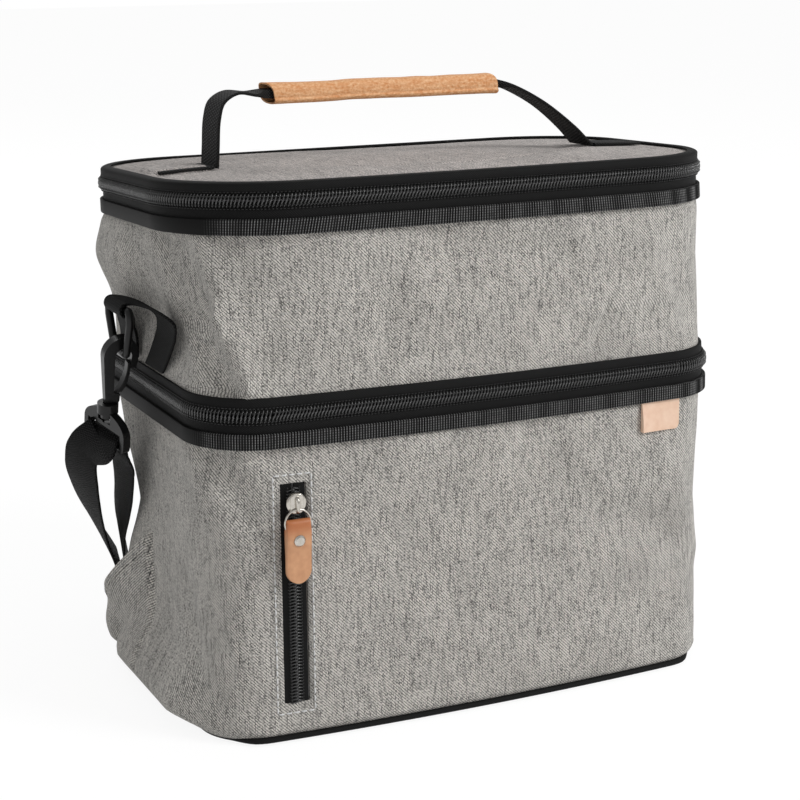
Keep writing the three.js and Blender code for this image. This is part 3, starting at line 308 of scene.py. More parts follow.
def mixColours(tree, factor, a, b, blend="MIX"):
    made = addNode(tree, "ShaderNodeMix", {0: factor, 6: a, 7: b}, data_type="RGBA", blend_type=blend)
    return made.outputs[2]


def stretch(tree, value, low, high):  # 0 at low, 1 at high, and held there
    ends = {"Value": value, "From Min": low, "From Max": high}
    return addNode(tree, "ShaderNodeMapRange", ends, clamp=True).outputs[0]


def newGroup(name, inputs, outputs):
    group = bpy.data.node_groups.new(name, "ShaderNodeTree")
    for label, kind in inputs:
        group.interface.new_socket(label, in_out="INPUT", socket_type="NodeSocket" + kind)
    for label, kind in outputs:
        group.interface.new_socket(label, in_out="OUTPUT", socket_type="NodeSocket" + kind)
    return group, group.nodes.new("NodeGroupInput").outputs, group.nodes.new("NodeGroupOutput").inputs


melange = {
    "repeat": 3.0, "shift": 0.37, "speck": 0.55, "rib": -0.62, "ribLevel": 0.33, "lift": 0.5,
}


# Melange twill: each cell shows its upright thread or its level one, by a step that moves on diagonally,
# mixed with a speck of its own. A thread is pale or dark over one streak, and the step gives the rib
def makeMelangeGroup():
    group, given, out = newGroup(
        "melangeTwill",
        [("Place", "Vector"), ("Thread", "Float"), ("Streak", "Float"), ("Contrast", "Float")],
        [("Tone", "Float"), ("Height", "Float")],
    )
    place = addNode(group, "ShaderNodeSeparateXYZ", {0: given["Place"]})
    u = maths(group, "DIVIDE", place.outputs[0], given["Thread"])
    v = maths(group, "DIVIDE", place.outputs[1], given["Thread"])
    warpAt, weftAt = maths(group, "FLOOR", u), maths(group, "FLOOR", v)

    def chance(a, b):  # one random value from 0 to 1 for each cell
        at = addNode(group, "ShaderNodeCombineXYZ", {0: a, 1: b}).outputs[0]
        return addNode(group, "ShaderNodeTexWhiteNoise", {"Vector": at}, noise_dimensions="2D").outputs["Value"]

    def threads(own, along):  # every thread's streaks start at their own place
        start = maths(group, "MULTIPLY", own, melange["shift"])
        shifted = maths(group, "ADD", maths(group, "DIVIDE", along, given["Streak"]), start)
        return chance(own, maths(group, "FLOOR", shifted))

    warp, weft = threads(warpAt, v), threads(weftAt, u)
    step = maths(group, "FRACT", maths(group, "DIVIDE", maths(group, "ADD", warpAt, weftAt), melange["repeat"]))
    over = maths(group, "GREATER_THAN", step, 0.5)
    picked = addNode(group, "ShaderNodeMix", {0: over, 2: warp, 3: weft}).outputs[0]
    speck = chance(maths(group, "ADD", warpAt, 0.5), weftAt)
    both = addNode(group, "ShaderNodeMix", {0: melange["speck"], 2: picked, 3: speck}).outputs[0]
    fleck = maths(group, "SUBTRACT", both, 0.5)
    rib = maths(group, "MULTIPLY", maths(group, "SUBTRACT", over, melange["ribLevel"]), melange["rib"])
    total = maths(group, "MULTIPLY", maths(group, "ADD", fleck, rib), given["Contrast"])
    tone = maths(group, "ADD", total, 0.5, clamp=True)
    group.links.new(tone, out["Tone"])
    group.links.new(maths(group, "ADD", maths(group, "MULTIPLY", over, melange["lift"]), tone), out["Height"])
    return group


weaveEdge = (0.15, 0.75)  # the mask rises from 0 to 1 between these


# Plain weave: the product of two sines is high where a thread passes over, low where it passes under
def makeWeaveGroup():
    group, given, out = newGroup(
        "plainWeave",
        [("Place", "Vector"), ("Across", "Float"), ("Along", "Float")],
        [("Mask", "Float"), ("Height", "Float")],
    )
    place = addNode(group, "ShaderNodeSeparateXYZ", {0: given["Place"]})
    u = maths(group, "MULTIPLY", maths(group, "DIVIDE", place.outputs[0], given["Along"]), fullTurn)
    v = maths(group, "MULTIPLY", maths(group, "DIVIDE", place.outputs[1], given["Across"]), fullTurn)
    product = maths(group, "MULTIPLY", maths(group, "SINE", u), maths(group, "SINE", v))
    group.links.new(stretch(group, product, *weaveEdge), out["Mask"])
    group.links.new(maths(group, "MULTIPLY", maths(group, "ADD", product, 1.0), 0.5), out["Height"])
    return group


# Slow uneven tone that breaks up a flat finish: one plus or minus half the amount
def makeMottleGroup():
    group, given, out = newGroup(
        "mottle", [("Place", "Vector"), ("Size", "Float"), ("Amount", "Float")], [("Factor", "Float")],
    )
    at = scaleVector(group, given["Place"], maths(group, "DIVIDE", 1.0, given["Size"]))
    noise = addNode(group, "ShaderNodeTexNoise", {"Vector": at, "Scale": 1.0, "Detail": 3.0})
    spread = maths(group, "MULTIPLY", maths(group, "SUBTRACT", noise.outputs[0], 0.5), given["Amount"])
    group.links.new(maths(group, "ADD", spread, 1.0), out["Factor"])
    return group


melangeTwill = makeMelangeGroup()
plainWeave = makeWeaveGroup()
mottle = makeMottleGroup()


def newMaterial(name, **sockets):
    material = bpy.data.materials.new(name)
    material.use_nodes = True
    tree = material.node_tree
    shader = tree.nodes["Principled BSDF"]
    for key, value in sockets.items():
        shader.inputs[key.replace("_", " ")].default_value = value
    return material, tree, shader


def inMillimetres(tree, source="Object"):
    place = addNode(tree, "ShaderNodeTexCoord")
    if source == "UV":
        return place.outputs["UV"]
    return scaleVector(tree, place.outputs["Object"], 1000.0)


def useGroup(tree, group, inputs):
    made = tree.nodes.new("ShaderNodeGroup")
    made.node_tree = group
    for key, value in inputs.items():
        if isinstance(value, bpy.types.NodeSocket):
            tree.links.new(value, made.inputs[key])
        else:
            made.inputs[key].default_value = value
    return made.outputs


def mottleAt(tree, place, size, amount):
    return useGroup(tree, mottle, {"Place": place, "Size": size, "Amount": amount})["Factor"]


def mixByMottle(tree, factor, a, b):  # a where the factor is 0.5 or less, b where it is 1.5 or more
    return mixColours(tree, maths(tree, "SUBTRACT", factor, 0.5, clamp=True), a, b)


# Links a material's colour, its height as a bump of the relief given, and its roughness where that varies
def finishMaterial(tree, shader, colour, height, relief, roughness=None):
    bump = addNode(tree, "ShaderNodeBump", {"Strength": 1.0, "Distance": relief * mm, "Height": height})
    tree.links.new(bump.outputs[0], shader.inputs["Normal"])
    tree.links.new(colour, shader.inputs["Base Color"])
    if roughness is not None:
        tree.links.new(roughness, shader.inputs["Roughness"])


def grey(level):
    return (level, level, level, 1)


cloth = {
    "light": (0.71, 0.682, 0.634, 1), "dark": (0.07, 0.067, 0.064, 1),
    "thread": 0.515, "streak": 13.0, "contrast": 1.7, "cloudSize": 26.0, "cloud": 0.42, "relief": 0.05,
    "roughness": 0.92, "sheen": 0.1, "sheenRoughness": 0.6,
}


# The bag's grey cloth: the twill between a dark and a light yarn, times a slow cloud and a tint. The slow cloud
# is partly the yarn's uneven tone and partly painted shade standing in for soft folds
def makeCloth(name, contrast=1.0, source="UV", tint=(1, 1, 1, 1)):
    material, tree, shader = newMaterial(name, Roughness=cloth["roughness"], Sheen_Weight=cloth["sheen"],
                                         Sheen_Roughness=cloth["sheenRoughness"])
    place = inMillimetres(tree, source)
    weave = useGroup(tree, melangeTwill, {
        "Place": place, "Thread": cloth["thread"], "Streak": cloth["streak"],
        "Contrast": cloth["contrast"] * contrast,
    })
    # Slow cloud: partly uneven tone, partly painted shade of soft folds
    cloud = mottleAt(tree, place, cloth["cloudSize"], cloth["cloud"])
    tone = mixColours(tree, weave["Tone"], cloth["dark"], cloth["light"])
    shade = addNode(tree, "ShaderNodeCombineColor", {0: cloud, 1: cloud, 2: cloud}).outputs[0]
    shaded = mixColours(tree, 1.0, tone, shade, "MULTIPLY")
    tinted = mixColours(tree, 1.0, shaded, tint, "MULTIPLY")
    finishMaterial(tree, shader, tinted, weave["Height"], cloth["relief"])
    return material


tapePatch = 5.0  # size of the patches that break up a tape's tone


# Woven tape or thread: across and along are the weave's pitch, dark and light its grey levels, light where a
# thread passes over and dark where it passes under, which is painted sheen on the crowns and painted shade
# between them
def makeWebbing(name, across, along, dark, light, relief, roughness=0.7, cloud=0.5, shine=0.2):
    material, tree, shader = newMaterial(name, Roughness=roughness, Specular_IOR_Level=shine)
    place = inMillimetres(tree, "UV")
    weave = useGroup(tree, plainWeave, {"Place": place, "Across": across, "Along": along})
    uneven = mottleAt(tree, place, tapePatch, cloud)
    # Painted sheen and shade of the weave, broken up by uneven patches
    mask = maths(tree, "MULTIPLY", weave["Mask"], uneven, clamp=True)
    finishMaterial(tree, shader, mixColours(tree, mask, grey(dark), grey(light)), weave["Height"], relief)
    return material


ribTones = {
    # The darkest grey is painted shade in the gaps between the ribs and the brightest a painted highlight on
    # their tops; the plain grey is the band's own black
    "gap": 0.0015, "ribHighlight": 0.22, "plain": 0.006, "pitch": 1.43, "dash": 1.15, "weave": 0.9,
    "patch": 2.4, "patchAmount": 1.6, "sidesTo": -66.0, "frontFrom": -74.0, "relief": 0.2,
    "ribHighlightEdge": (0.1, 0.9), "dashEdge": (-1.4, 0.6), "roughness": 0.6, "shine": 0.16,
}


# Band under a zip: upright ribs in front with a painted highlight on their tops and painted shade in the gaps,
# broken along their length, and plain twill on the sides
def makeRibbedBand():
    material, tree, shader = newMaterial("ribbedBand", Roughness=ribTones["roughness"],
                                         Specular_IOR_Level=ribTones["shine"])
    uv = inMillimetres(tree, "UV")
    part = addNode(tree, "ShaderNodeSeparateXYZ", {0: uv}).outputs
    wave = maths(tree, "SINE", maths(tree, "MULTIPLY", part[0], fullTurn / ribTones["pitch"]))
    dash = maths(tree, "SINE", maths(tree, "MULTIPLY", part[1], fullTurn / ribTones["dash"]))
    ribHighlight = stretch(tree, wave, *ribTones["ribHighlightEdge"])
    ribHighlight = maths(tree, "MULTIPLY", ribHighlight, stretch(tree, dash, *ribTones["dashEdge"]))
    uneven = mottleAt(tree, uv, ribTones["patch"], ribTones["patchAmount"])
    ribHighlight = maths(tree, "MULTIPLY", ribHighlight, uneven, clamp=True)
    place = addNode(tree, "ShaderNodeSeparateXYZ", {0: inMillimetres(tree)}).outputs
    front = stretch(tree, place[1], ribTones["sidesTo"], ribTones["frontFrom"])
    # Painted highlight on the rib tops over painted shade in the gaps, on the front only
    ribs = mixColours(tree, ribHighlight, grey(ribTones["gap"]), grey(ribTones["ribHighlight"]))
    plain = useGroup(tree, plainWeave, {"Place": uv, "Across": ribTones["weave"], "Along": ribTones["weave"]})
    # The side twill is lighter where a thread passes over: painted sheen on the crowns and painted shade
    # between them
    twill = mixColours(tree, plain["Mask"], grey(ribTones["plain"] * 0.5), grey(ribTones["plain"] * 1.5))
    height = maths(tree, "MULTIPLY", wave, front)
    finishMaterial(tree, shader, mixColours(tree, front, twill, ribs), height, ribTones["relief"])
    return material


moulded = {"patch": 6.0, "patchAmount": 0.5, "darkShare": 0.6}


# Moulded plastic: a grey level that is worn unevenly, with a fine grain of the size given
def makeMoulded(name, level, roughness, size, relief, shine):
    material, tree, shader = newMaterial(name, Roughness=roughness, Specular_IOR_Level=shine)
    place = inMillimetres(tree)
    patchy = mottleAt(tree, place, moulded["patch"], moulded["patchAmount"])
    worn = mixColours(tree, patchy, grey(level * moulded["darkShare"]), grey(level))
    uneven = maths(tree, "MULTIPLY", patchy, roughness)
    finishMaterial(tree, shader, worn, mottleAt(tree, place, size, 1.0), relief, uneven)
    return material


nickel = {
    "dull": (0.36, 0.33, 0.29, 1), "bright": (0.78, 0.75, 0.69, 1), "cloudSize": 1.8, "cloud": 0.7,
    "roughness": 0.26, "relief": 0.02,
}


def makeNickel():
    material, tree, shader = newMaterial("nickelPlate", Metallic=1.0, Roughness=nickel["roughness"])
    cloud = mottleAt(tree, inMillimetres(tree), nickel["cloudSize"], nickel["cloud"])
    colour = mixByMottle(tree, cloud, nickel["dull"], nickel["bright"])
    uneven = maths(tree, "MULTIPLY", cloud, nickel["roughness"])
    finishMaterial(tree, shader, colour, cloud, nickel["relief"], uneven)
    return material


leather = {
    "tone": (0.56, 0.26, 0.125, 1), "worn": (0.76, 0.41, 0.22, 1),
    "pore": 0.45, "relief": 0.06, "roughness": 0.48,
    # The fold colour is painted shade at the tab's round fold, rising between two heights to a share of that
    # colour
    "fold": (0.47, 0.13, 0.03, 1), "foldFrom": 98.5, "foldShadeTo": 104.5, "foldShadeShare": 0.8,  # from height to height
}
bareLeather = {
    "tone": (0.82, 0.53, 0.37, 1), "worn": (0.95, 0.70, 0.54, 1),
    "pore": 0.6, "relief": 0.03, "roughness": 0.5,
}


hides = {"coat": 0.15, "coatRoughness": 0.35, "cloudSize": 4.0, "cloud": 1.6}  # what both leathers share


def makeLeather(name, hide):
    material, tree, shader = newMaterial(name, Roughness=hide["roughness"], Coat_Weight=hides["coat"],
                                         Coat_Roughness=hides["coatRoughness"])
    place = inMillimetres(tree)
    cells = addNode(tree, "ShaderNodeTexVoronoi", {"Vector": place, "Scale": 1 / hide["pore"]},
                    feature="DISTANCE_TO_EDGE")
    slow = mottleAt(tree, place, hides["cloudSize"], hides["cloud"])
    mixed = mixByMottle(tree, slow, hide["tone"], hide["worn"])
    # Painted shade: the leather turns darker towards the round fold at the top of the tab
    if "fold" in hide:
        height = addNode(tree, "ShaderNodeSeparateXYZ", {0: place}).outputs[2]
        band = stretch(tree, height, hide["foldFrom"], hide["foldShadeTo"])
        mixed = mixColours(tree, maths(tree, "MULTIPLY", band, hide["foldShadeShare"]), mixed, hide["fold"])
    uneven = maths(tree, "MULTIPLY", slow, hide["roughness"])
    finishMaterial(tree, shader, mixed, cells.outputs["Distance"], hide["relief"], uneven)
    return material


cork = {
    "dark": (0.72, 0.29, 0.10, 1), "pale": (0.98, 0.60, 0.33, 1), "spot": (0.55, 0.21, 0.07, 1),
    "patch": 1.3, "patchAmount": 3.2, "grain": 0.9, "grainAmount": 3.4, "drawn": (0.4, 1.0, 1.0),
    "spotScale": 1.1, "spotSize": 0.16, "relief": 0.16, "roughness": 0.78,
}


# Cork: round patches mixed with a grain that is drawn out along the handle, and dark spots
def makeCork():
    material, tree, shader = newMaterial("corkWrap", Roughness=cork["roughness"])
    place = inMillimetres(tree)
    patches = mottleAt(tree, place, cork["patch"], cork["patchAmount"])
    drawn = addNode(tree, "ShaderNodeMapping", {"Vector": place, "Scale": cork["drawn"]}).outputs[0]
    grain = mottleAt(tree, drawn, cork["grain"], cork["grainAmount"])
    both = maths(tree, "MULTIPLY", maths(tree, "ADD", patches, grain), 0.5)
    cells = addNode(tree, "ShaderNodeTexVoronoi", {"Vector": place, "Scale": cork["spotScale"]})
    offSpot = stretch(tree, cells.outputs["Distance"], 0.0, cork["spotSize"])
    speckled = mixColours(tree, offSpot, cork["spot"], mixByMottle(tree, both, cork["dark"], cork["pale"]))
    finishMaterial(tree, shader, speckled, both, cork["relief"])
    return material


foil = {
    "dull": (0.52, 0.53, 0.54, 1), "bright": (0.74, 0.75, 0.76, 1), "crinkle": 14.0, "fine": 4.0,
    "fineShare": 0.3, "metal": 0.55, "roughness": 0.34, "relief": 1.2,
}


def makeLiner():
    material, tree, shader = newMaterial("foilLiner", Metallic=foil["metal"], Roughness=foil["roughness"])
    place = inMillimetres(tree)
    crinkle, fine = mottleAt(tree, place, foil["crinkle"], 1.0), mottleAt(tree, place, foil["fine"], 1.0)
    colour = mixByMottle(tree, crinkle, foil["dull"], foil["bright"])
    uneven = maths(tree, "MULTIPLY", fine, foil["roughness"])
    folds = maths(tree, "ADD", crinkle, maths(tree, "MULTIPLY", fine, foil["fineShare"]))
    finishMaterial(tree, shader, colour, folds, foil["relief"], uneven)
    return material


# Foam: each cell is a hollow that sinks to its middle; the darker grey is painted shade there, fading to the
# paler grey, the foam's own tone, at its rim
foam = {"cellScale": 1.2, "skin": 0.5, "wall": 0.62, "pale": 0.85, "roughness": 0.85, "relief": 0.1}


def makeFoam():
    material, tree, shader = newMaterial("closedCellFoam", Roughness=foam["roughness"])
    place = inMillimetres(tree)
    cells = addNode(tree, "ShaderNodeTexVoronoi", {"Vector": place, "Scale": foam["cellScale"]})
    # Painted shade: dark at each cell's sunken middle, pale towards its rim
    skin = stretch(tree, cells.outputs["Distance"], 0.0, foam["skin"])
    colour = mixColours(tree, skin, grey(foam["wall"]), grey(foam["pale"]))
    finishMaterial(tree, shader, colour, cells.outputs["Distance"], foam["relief"])
    return material


greyCloth = makeCloth("greyMelange")
lidCloth = makeCloth("greyMelangeLid", contrast=0.75, source="Object", tint=(1.0, 0.955, 0.97, 1))
twillTape = makeWebbing("twillTape", across=1.0, along=1.2, dark=0.002, light=0.016, relief=0.10,
                        cloud=0.8, shine=0.18)
ribbedBand = makeRibbedBand()
strapWebbing = makeWebbing("strapWebbing", across=1.6, along=1.9, dark=0.001, light=0.021, relief=0.30,
                           cloud=0.9, shine=0.1)
handleWebbing = makeWebbing("handleWebbing", across=1.3, along=1.6, dark=0.003, light=0.050, relief=0.3,
                            cloud=1.2)
coilPlastic = makeMoulded("coilPlastic", level=0.032, roughness=0.26, size=0.6, relief=0.01, shine=0.8)
mouldedPlastic = makeMoulded("mouldedPlastic", level=0.007, roughness=0.30, size=0.35, relief=0.02, shine=0.3)
nickelPlate = makeNickel()
tanLeather = makeLeather("tanLeather", leather)
patchLeather = makeLeather("patchLeather", bareLeather)
corkWrap = makeCork()
foilLiner = makeLiner()
closedCellFoam = makeFoam()
threadPly = {"across": 0.5, "along": 0.6, "relief": 0.05}
paleThread = makeWebbing("paleThread", dark=0.75, light=0.95, **threadPly)
greyThread = makeWebbing("greyThread", dark=0.34, light=0.5, **threadPly)
darkThread = makeWebbing("darkThread", dark=0.006, light=0.030, roughness=0.45, shine=0.5, **threadPly)
print("materials made")


pocket = {"x": -96, "bottom": 18, "top": 123, "window": 12, "straightFrom": 102}

# Folds of the outer fabric in millimetres: dents and ridges, each a bell across a short line on the wall
lowerFolds = {
    "slow": 1.8, "slowSize": 44, "fine": 0.36, "fineSize": 15, "pouch": 1, "strength": 2.1, "seed": 3,
    "calm": [(-105, -87, 15, 127, 9), (86, 109, 124, 150, 7)],  # x, x, z, z and fade of places held flat
    "creases": [  # from x, z to x, z along the wall, half width, depth (positive sinks in)
        (-138, 146, -116, 112, 7, 1.9), (-152, 140, -128, 100, 9, -0.8),
        (-62, 76, 2, 58, 11, 1.5), (-90, 66, -140, 30, 10, -0.9),
        (28, 130, 42, 96, 10, 1.5), (40, 96, 104, 70, 11, 1.6), (-158, 66, -140, 28, 9, 1.4),
        (-84, 100, -38, 132, 10, -0.9), (96, 120, 122, 60, 9, -0.8), (-30, 20, 60, 26, 14, -0.7),
        (-225, 92, -270, 84, 22, 1.2), (-158, 14, -214, 14, 15, -5.2), (-250, 14, -292, 13, 12, -2.1),
        (172, 17, 215, 16, 14, -2.2), (240, 15, 292, 14, 12, -1.6),
    ],
}
upperFolds = {
    "slow": 1.6, "slowSize": 40, "fine": 0.32, "fineSize": 14, "pouch": 0, "strength": 2.6, "seed": 8,
    "calm": [],
    "creases": [
        (-176, 236, -158, 196, 10, 3.1), (-150, 236, -142, 196, 6, -2.0), (-142, 196, -126, 168, 6, -2.0),
        (-160, 190, -140, 166, 7, 1.6), (-40, 227, 64, 214, 9, 1.3), (-69, 206, -68, 176, 8, 0.7),
        (78, 172, 92, 186, 3, 0.9), (-20, 168, 12, 172, 6, 0.8), (118, 226, 128, 180, 9, 0.9),
        (-228, 214, -276, 212, 17, -3.0), (236, 216, 270, 214, 15, -2.0),
        (-112, 228, -120, 170, 6, 0.9), (-214, 196, -180, 182, 12, 1.6),
    ],
}


# How deep a fold may sink, freely and over the pocket's pouch, and where that pouch lies and fades out
foldLimit = {
    "free": 4.0, "overPouch": 1.25, "sharpness": 3, "noiseShift": 900,
    "left": -122, "right": 66, "top": 142, "fadeX": 16, "fadeZ": 12,
}


# Bell of a point's distance from a segment, summed over the creases, on top of two layers of smooth
# noise; held flat in calm places, and softly limited where the pouch lies behind the cloth
def foldDepth(x, z, folds):
    p = foldLimit
    shifted = x + p["noiseShift"]
    sunk = folds["slow"] * lattice(shifted, z, folds["slowSize"], folds["seed"])
    sunk = sunk + folds["fine"] * lattice(shifted, z, folds["fineSize"], folds["seed"] + 1)
    for x0, z0, x1, z1, spread, depth in folds["creases"]:
        run = np.array([x1 - x0, z1 - z0], float)
        t = np.clip(((x - x0) * run[0] + (z - z0) * run[1]) / (run @ run), 0, 1)
        away = np.hypot(x - x0 - t * run[0], z - z0 - t * run[1])
        sunk = sunk + folds["strength"] * depth * np.exp(-((away / spread) ** 2))
    for x0, x1, z0, z1, fade in folds["calm"]:
        off = np.hypot(np.maximum(np.maximum(x0 - x, x - x1), 0), np.maximum(np.maximum(z0 - z, z - z1), 0))
        sunk = sunk * ease(off / fade)
    overPouch = ease((x - p["left"]) / p["fadeX"]) * ease((p["right"] - x) / p["fadeX"])
    overPouch = overPouch * ease((p["top"] - z) / p["fadeZ"])
    limit = lerp(p["free"], p["overPouch"], overPouch * folds["pouch"])
    return limit - np.logaddexp(0, (limit - sunk) * p["sharpness"]) / p["sharpness"]


# Distance along a compartment's outline from the middle of its front, at the stations given
def fromFront(u, level):
    every = outlineStations()
    around = arcLength(wallPoint(every, np.full(len(every), level), 0, pocket["straightFrom"]))
    return np.interp(u, every, around) - np.interp(half, every, around)


held = {"belowFloor": 5, "aboveBand": 4, "fade": 9}


def freeAt(z, levels):  # 0 where the wall is held by the floor or the band, 1 between them
    fromFloor = ease((z - levels[0] + held["belowFloor"]) / held["fade"])
    return fromFloor * ease((levels[2] + held["aboveBand"] - z) / held["fade"])


floorShares = np.concatenate([[0.004], np.linspace(0.15, 1, 6)])  # rows of a floor, as shares of its outline


# Rows of a cup's outer face: across the floor, round the heel on an eased curve, and up the wall
def cupRows(inset, floorZ, rimZ, heel, rows):
    heelAngle = np.linspace(0, np.pi / 2, 7)[1:-1]
    floor = [(inset + heel, floorZ, part) for part in floorShares]
    inwards = heel * (1 - 0.5 * (np.sin(heelAngle) + heelAngle / (np.pi / 2)))
    upwards = heel * 0.5 * (1 - np.cos(heelAngle) + heelAngle / (np.pi / 2))
    bend = [(inset + a, floorZ + b, 1) for a, b in zip(inwards, upwards)]
    wall = [(inset, z, 1) for z in np.linspace(floorZ + heel, rimZ, rows)]
    return np.array(floor + bend + wall)


windowEdge = {"low": 0.01, "high": 0.2}  # slack before the opening's low edge, margin before its high one


# One layer of a compartment: the wall's outline at every row, drawn in by the inset and the folds, and
# shrunk towards the middle across the floor. window is the pocket's opening, where faces are left out
def cup(name, inset, thickness, floorZ, rimZ, heel, material, body, replaces, folds, rows, window):
    u = outlineStations()
    table = cupRows(inset, floorZ, rimZ, heel, rows)
    insets, z, part = (table[:, k][:, None] for k in range(3))
    levels = lowerLevels if rimZ < bag["midZip"] else upperLevels
    straight = pocket["straightFrom"] if rimZ < bag["midZip"] else None
    sunk = foldDepth(fromFront(u, levels[1])[None], z, folds) * freeAt(z, levels)
    grid = wallPoint(u[None], z, insets + sunk, straight)
    grid[..., :2] *= part[..., None]
    skip = None
    if window:  # a front wall's face is left out where its first corner lies in the opening
        inX, inZ = (
            (grid[..., axis] > window[word][0] - windowEdge["low"])
            & (grid[..., axis] < window[word][1] - windowEdge["high"])
            for axis, word in ((0, "x"), (2, "z"))
        )
        skip = inX & inZ & (grid[..., 1] < 0) & (part > 0.999)
    middle = int(np.argmin(np.abs(u - half)))  # threads are measured from the middle of the front
    piece = addGrid(name, grid, material, body, across=True, capped="start", weld=True, sharp=60,
                    replaces=replaces, skip=skip, turned=True, lined=middle,
                    flat=(len(floorShares), (0, 1)))
    thicken(piece, thickness)


# Cloth outside, foam within it and the lining within that. rows are those of the cloth and of the others
def makeCompartment(word, floor, rim, heel, folds, rows, window=None):
    foamInset = bag["fabric"] + bag["gap"]
    liningInset = foamInset + bag["foam"] + bag["gap"]
    layers = (
        ("fabric", 0, bag["fabric"], 0, greyCloth, "shell", "grey_fabric", rows[0], window),
        ("foam", foamInset, bag["foam"], 0.4, closedCellFoam, "insulation", "white_foam", rows[1], None),
        ("lining", liningInset, bag["liner"], 0.6, foilLiner, "liner", "silver_liner", rows[1], None),
    )
    for layer, inset, thickness, short, material, node, slot, count, opening in layers:
        cup(f"{word}_{layer}", inset, thickness, floor + inset, rim - short, heel, material, word,
            [f"{word}_{node}"], folds, count, opening)


pocketWindow = {
    "x": (pocket["x"] - pocket["window"] / 2, pocket["x"] + pocket["window"] / 2),
    "z": (pocket["bottom"], pocket["top"]),
}
lowerRim, upperFloor = bag["midZip"] - bag["rimDrop"], bag["midZip"] + bag["rimDrop"]
upperRim = bag["topZip"] - bag["rimDrop"]
makeCompartment("lower", 0, lowerRim, bag["heel"], lowerFolds, (145, 60), pocketWindow)
makeCompartment("upper", upperFloor, upperRim, bag["upperHeel"], upperFolds, (90, 45))
print("compartments made")


# A band that follows the wall: its section is a closed list of outward offset and height. ripple gives
# the number of its rows and a function that moves their points
def wallStrip(name, section, material, body, start=0.0, end=2 * half, replaces=(), ripple=None):
    u = outlineStations()
    whole = end - start >= 2 * half
    if not whole:
        u = np.concatenate([[start], u[(u > start) & (u < end)], [end]])
    if ripple:
        u = np.linspace(u[0], u[-1], ripple["count"] + 1)
        u = u[:-1] if whole else u
    out, z = np.array(section, float).T
    grid = wallPoint(u[:, None], z[None], -out[None])
    if ripple:
        grid = ripple["shape"](grid, out)
    addGrid(name, grid, material, body, around=whole, across=True, capped=not whole, sharp=50,
            replaces=replaces)


def boxSection(inner, outer, low, high, r=0.3):  # a rectangle whose outer corners are eased by r
    return [(inner, low), (outer - r, low), (outer - 0.3 * r, low + 0.3 * r), (outer, low + r),
            (outer, high - r), (outer - 0.3 * r, high - 0.3 * r), (outer - r, high), (inner, high)]


zips = {
    "gap": 0.3, "tape": 1.0, "tapeBelow": 12, "split": 0.5, "bandTop": 8, "band": 1.3, "bandRound": 0.35,
    "pitch": 1.62, "ribPitch": 1.43, "ribRows": 2600, "ribHeight": 0.42,
    "toothUp": (3.1, 2.3, 1.2, 0.3, -0.35), "toothOut": (0.5, 1.15, 1.3, 1.45, 1.25),
    "toothLean": (0.30, 0.2, 0.05, -0.1, -0.15), "toothRadii": (0.26, 0.32, 0.36, 0.50, 0.42),
    "threadRows": ((1.9, 3.1), (3.6, 1.9)), "threadAlong": (-0.6, -0.35, 0, 0.35, 0.6),
    "threadSunk": (0.3, 0.08, 0, 0.08, 0.3), "threadRadii": (0.2, 0.27, 0.3, 0.27, 0.2),
    "tapeAbove": 8, "ribPower": 0.7, "ribFrom": 62, "ribFade": 10,
}


# Small bars laid side by side: each is a tube through a short path, its section a hexagon.
# paths has one row of points for each bar; side and out are its own two directions across the bar
def addBars(name, paths, side, out, radii, material, body, replaces=()):
    count, steps = paths.shape[:2]
    ring = np.arange(6)[:, None] * np.pi / 3
    offset = np.cos(ring) * side[:, None, None] + np.sin(ring) * out[:, None, None]
    points = paths[:, :, None] + offset * np.array(radii)[:, None, None]
    faces, places = gridFaces(steps, 6, False, True)
    first = np.arange(count) * steps * 6
    every = (faces[None] + first[:, None, None]).reshape(-1, 4)
    uv = np.broadcast_to(places[None] * 0.4, (count,) + places.shape).reshape(-1, 4, 2)
    caps = [list(range(k, k + 6)) for k in first]
    caps += [list(range(k, k + 6))[::-1] for k in first + (steps - 1) * 6]
    mesh = buildMesh(name, points.reshape(-1, 3), every.astype(int), uv.astype(np.float32), caps, False, 80)
    addPiece(mesh, material, body, replaces)


def evenStations(z, start, end, pitch):  # stations spaced evenly along the wall's outline at a height
    u = np.linspace(start, end, 3000)
    length = arcLength(wallPoint(u, np.full(len(u), float(z)), 0))
    count = int(length[-1] / pitch)
    return np.interp((np.arange(count) + 0.5) * length[-1] / count, length, u)


# At each station, the point over the wall at a height and offset, the way ahead along the outline, and
# the way out for a millimetre more of offset
def overWall(u, z, out):
    z = np.full(len(u), float(z))
    point = wallPoint(u, z, -out)
    return point, unit(wallPoint(u + 0.02, z, -out) - point), wallPoint(u, z, -out - 1) - point


# Coil teeth of one side of a zip: every tooth leans, and its head reaches past the middle between its
# neighbours of the other side. sign is -1 below the zip line and 1 above
def coilTeeth(name, zipZ, sign, start, end, body, replaces):
    u = evenStations(zipZ, start, end, zips["pitch"])
    u = u[:-1] + (u[1] - u[0]) / 2 * (sign > 0)
    base = zips["gap"] * 2 + zips["tape"]
    heights = np.array(zips["toothUp"]) * sign
    lean = np.array(zips["toothLean"]) * zips["pitch"] * sign
    _, ahead, outward = overWall(u, zipZ, base)
    paths = wallPoint(u[:, None], zipZ + heights, -(base + np.array(zips["toothOut"])))
    paths = paths + ahead[:, None] * lean[:, None]
    addBars(name, paths, ahead, unit(outward), zips["toothRadii"], coilPlastic, body, replaces)


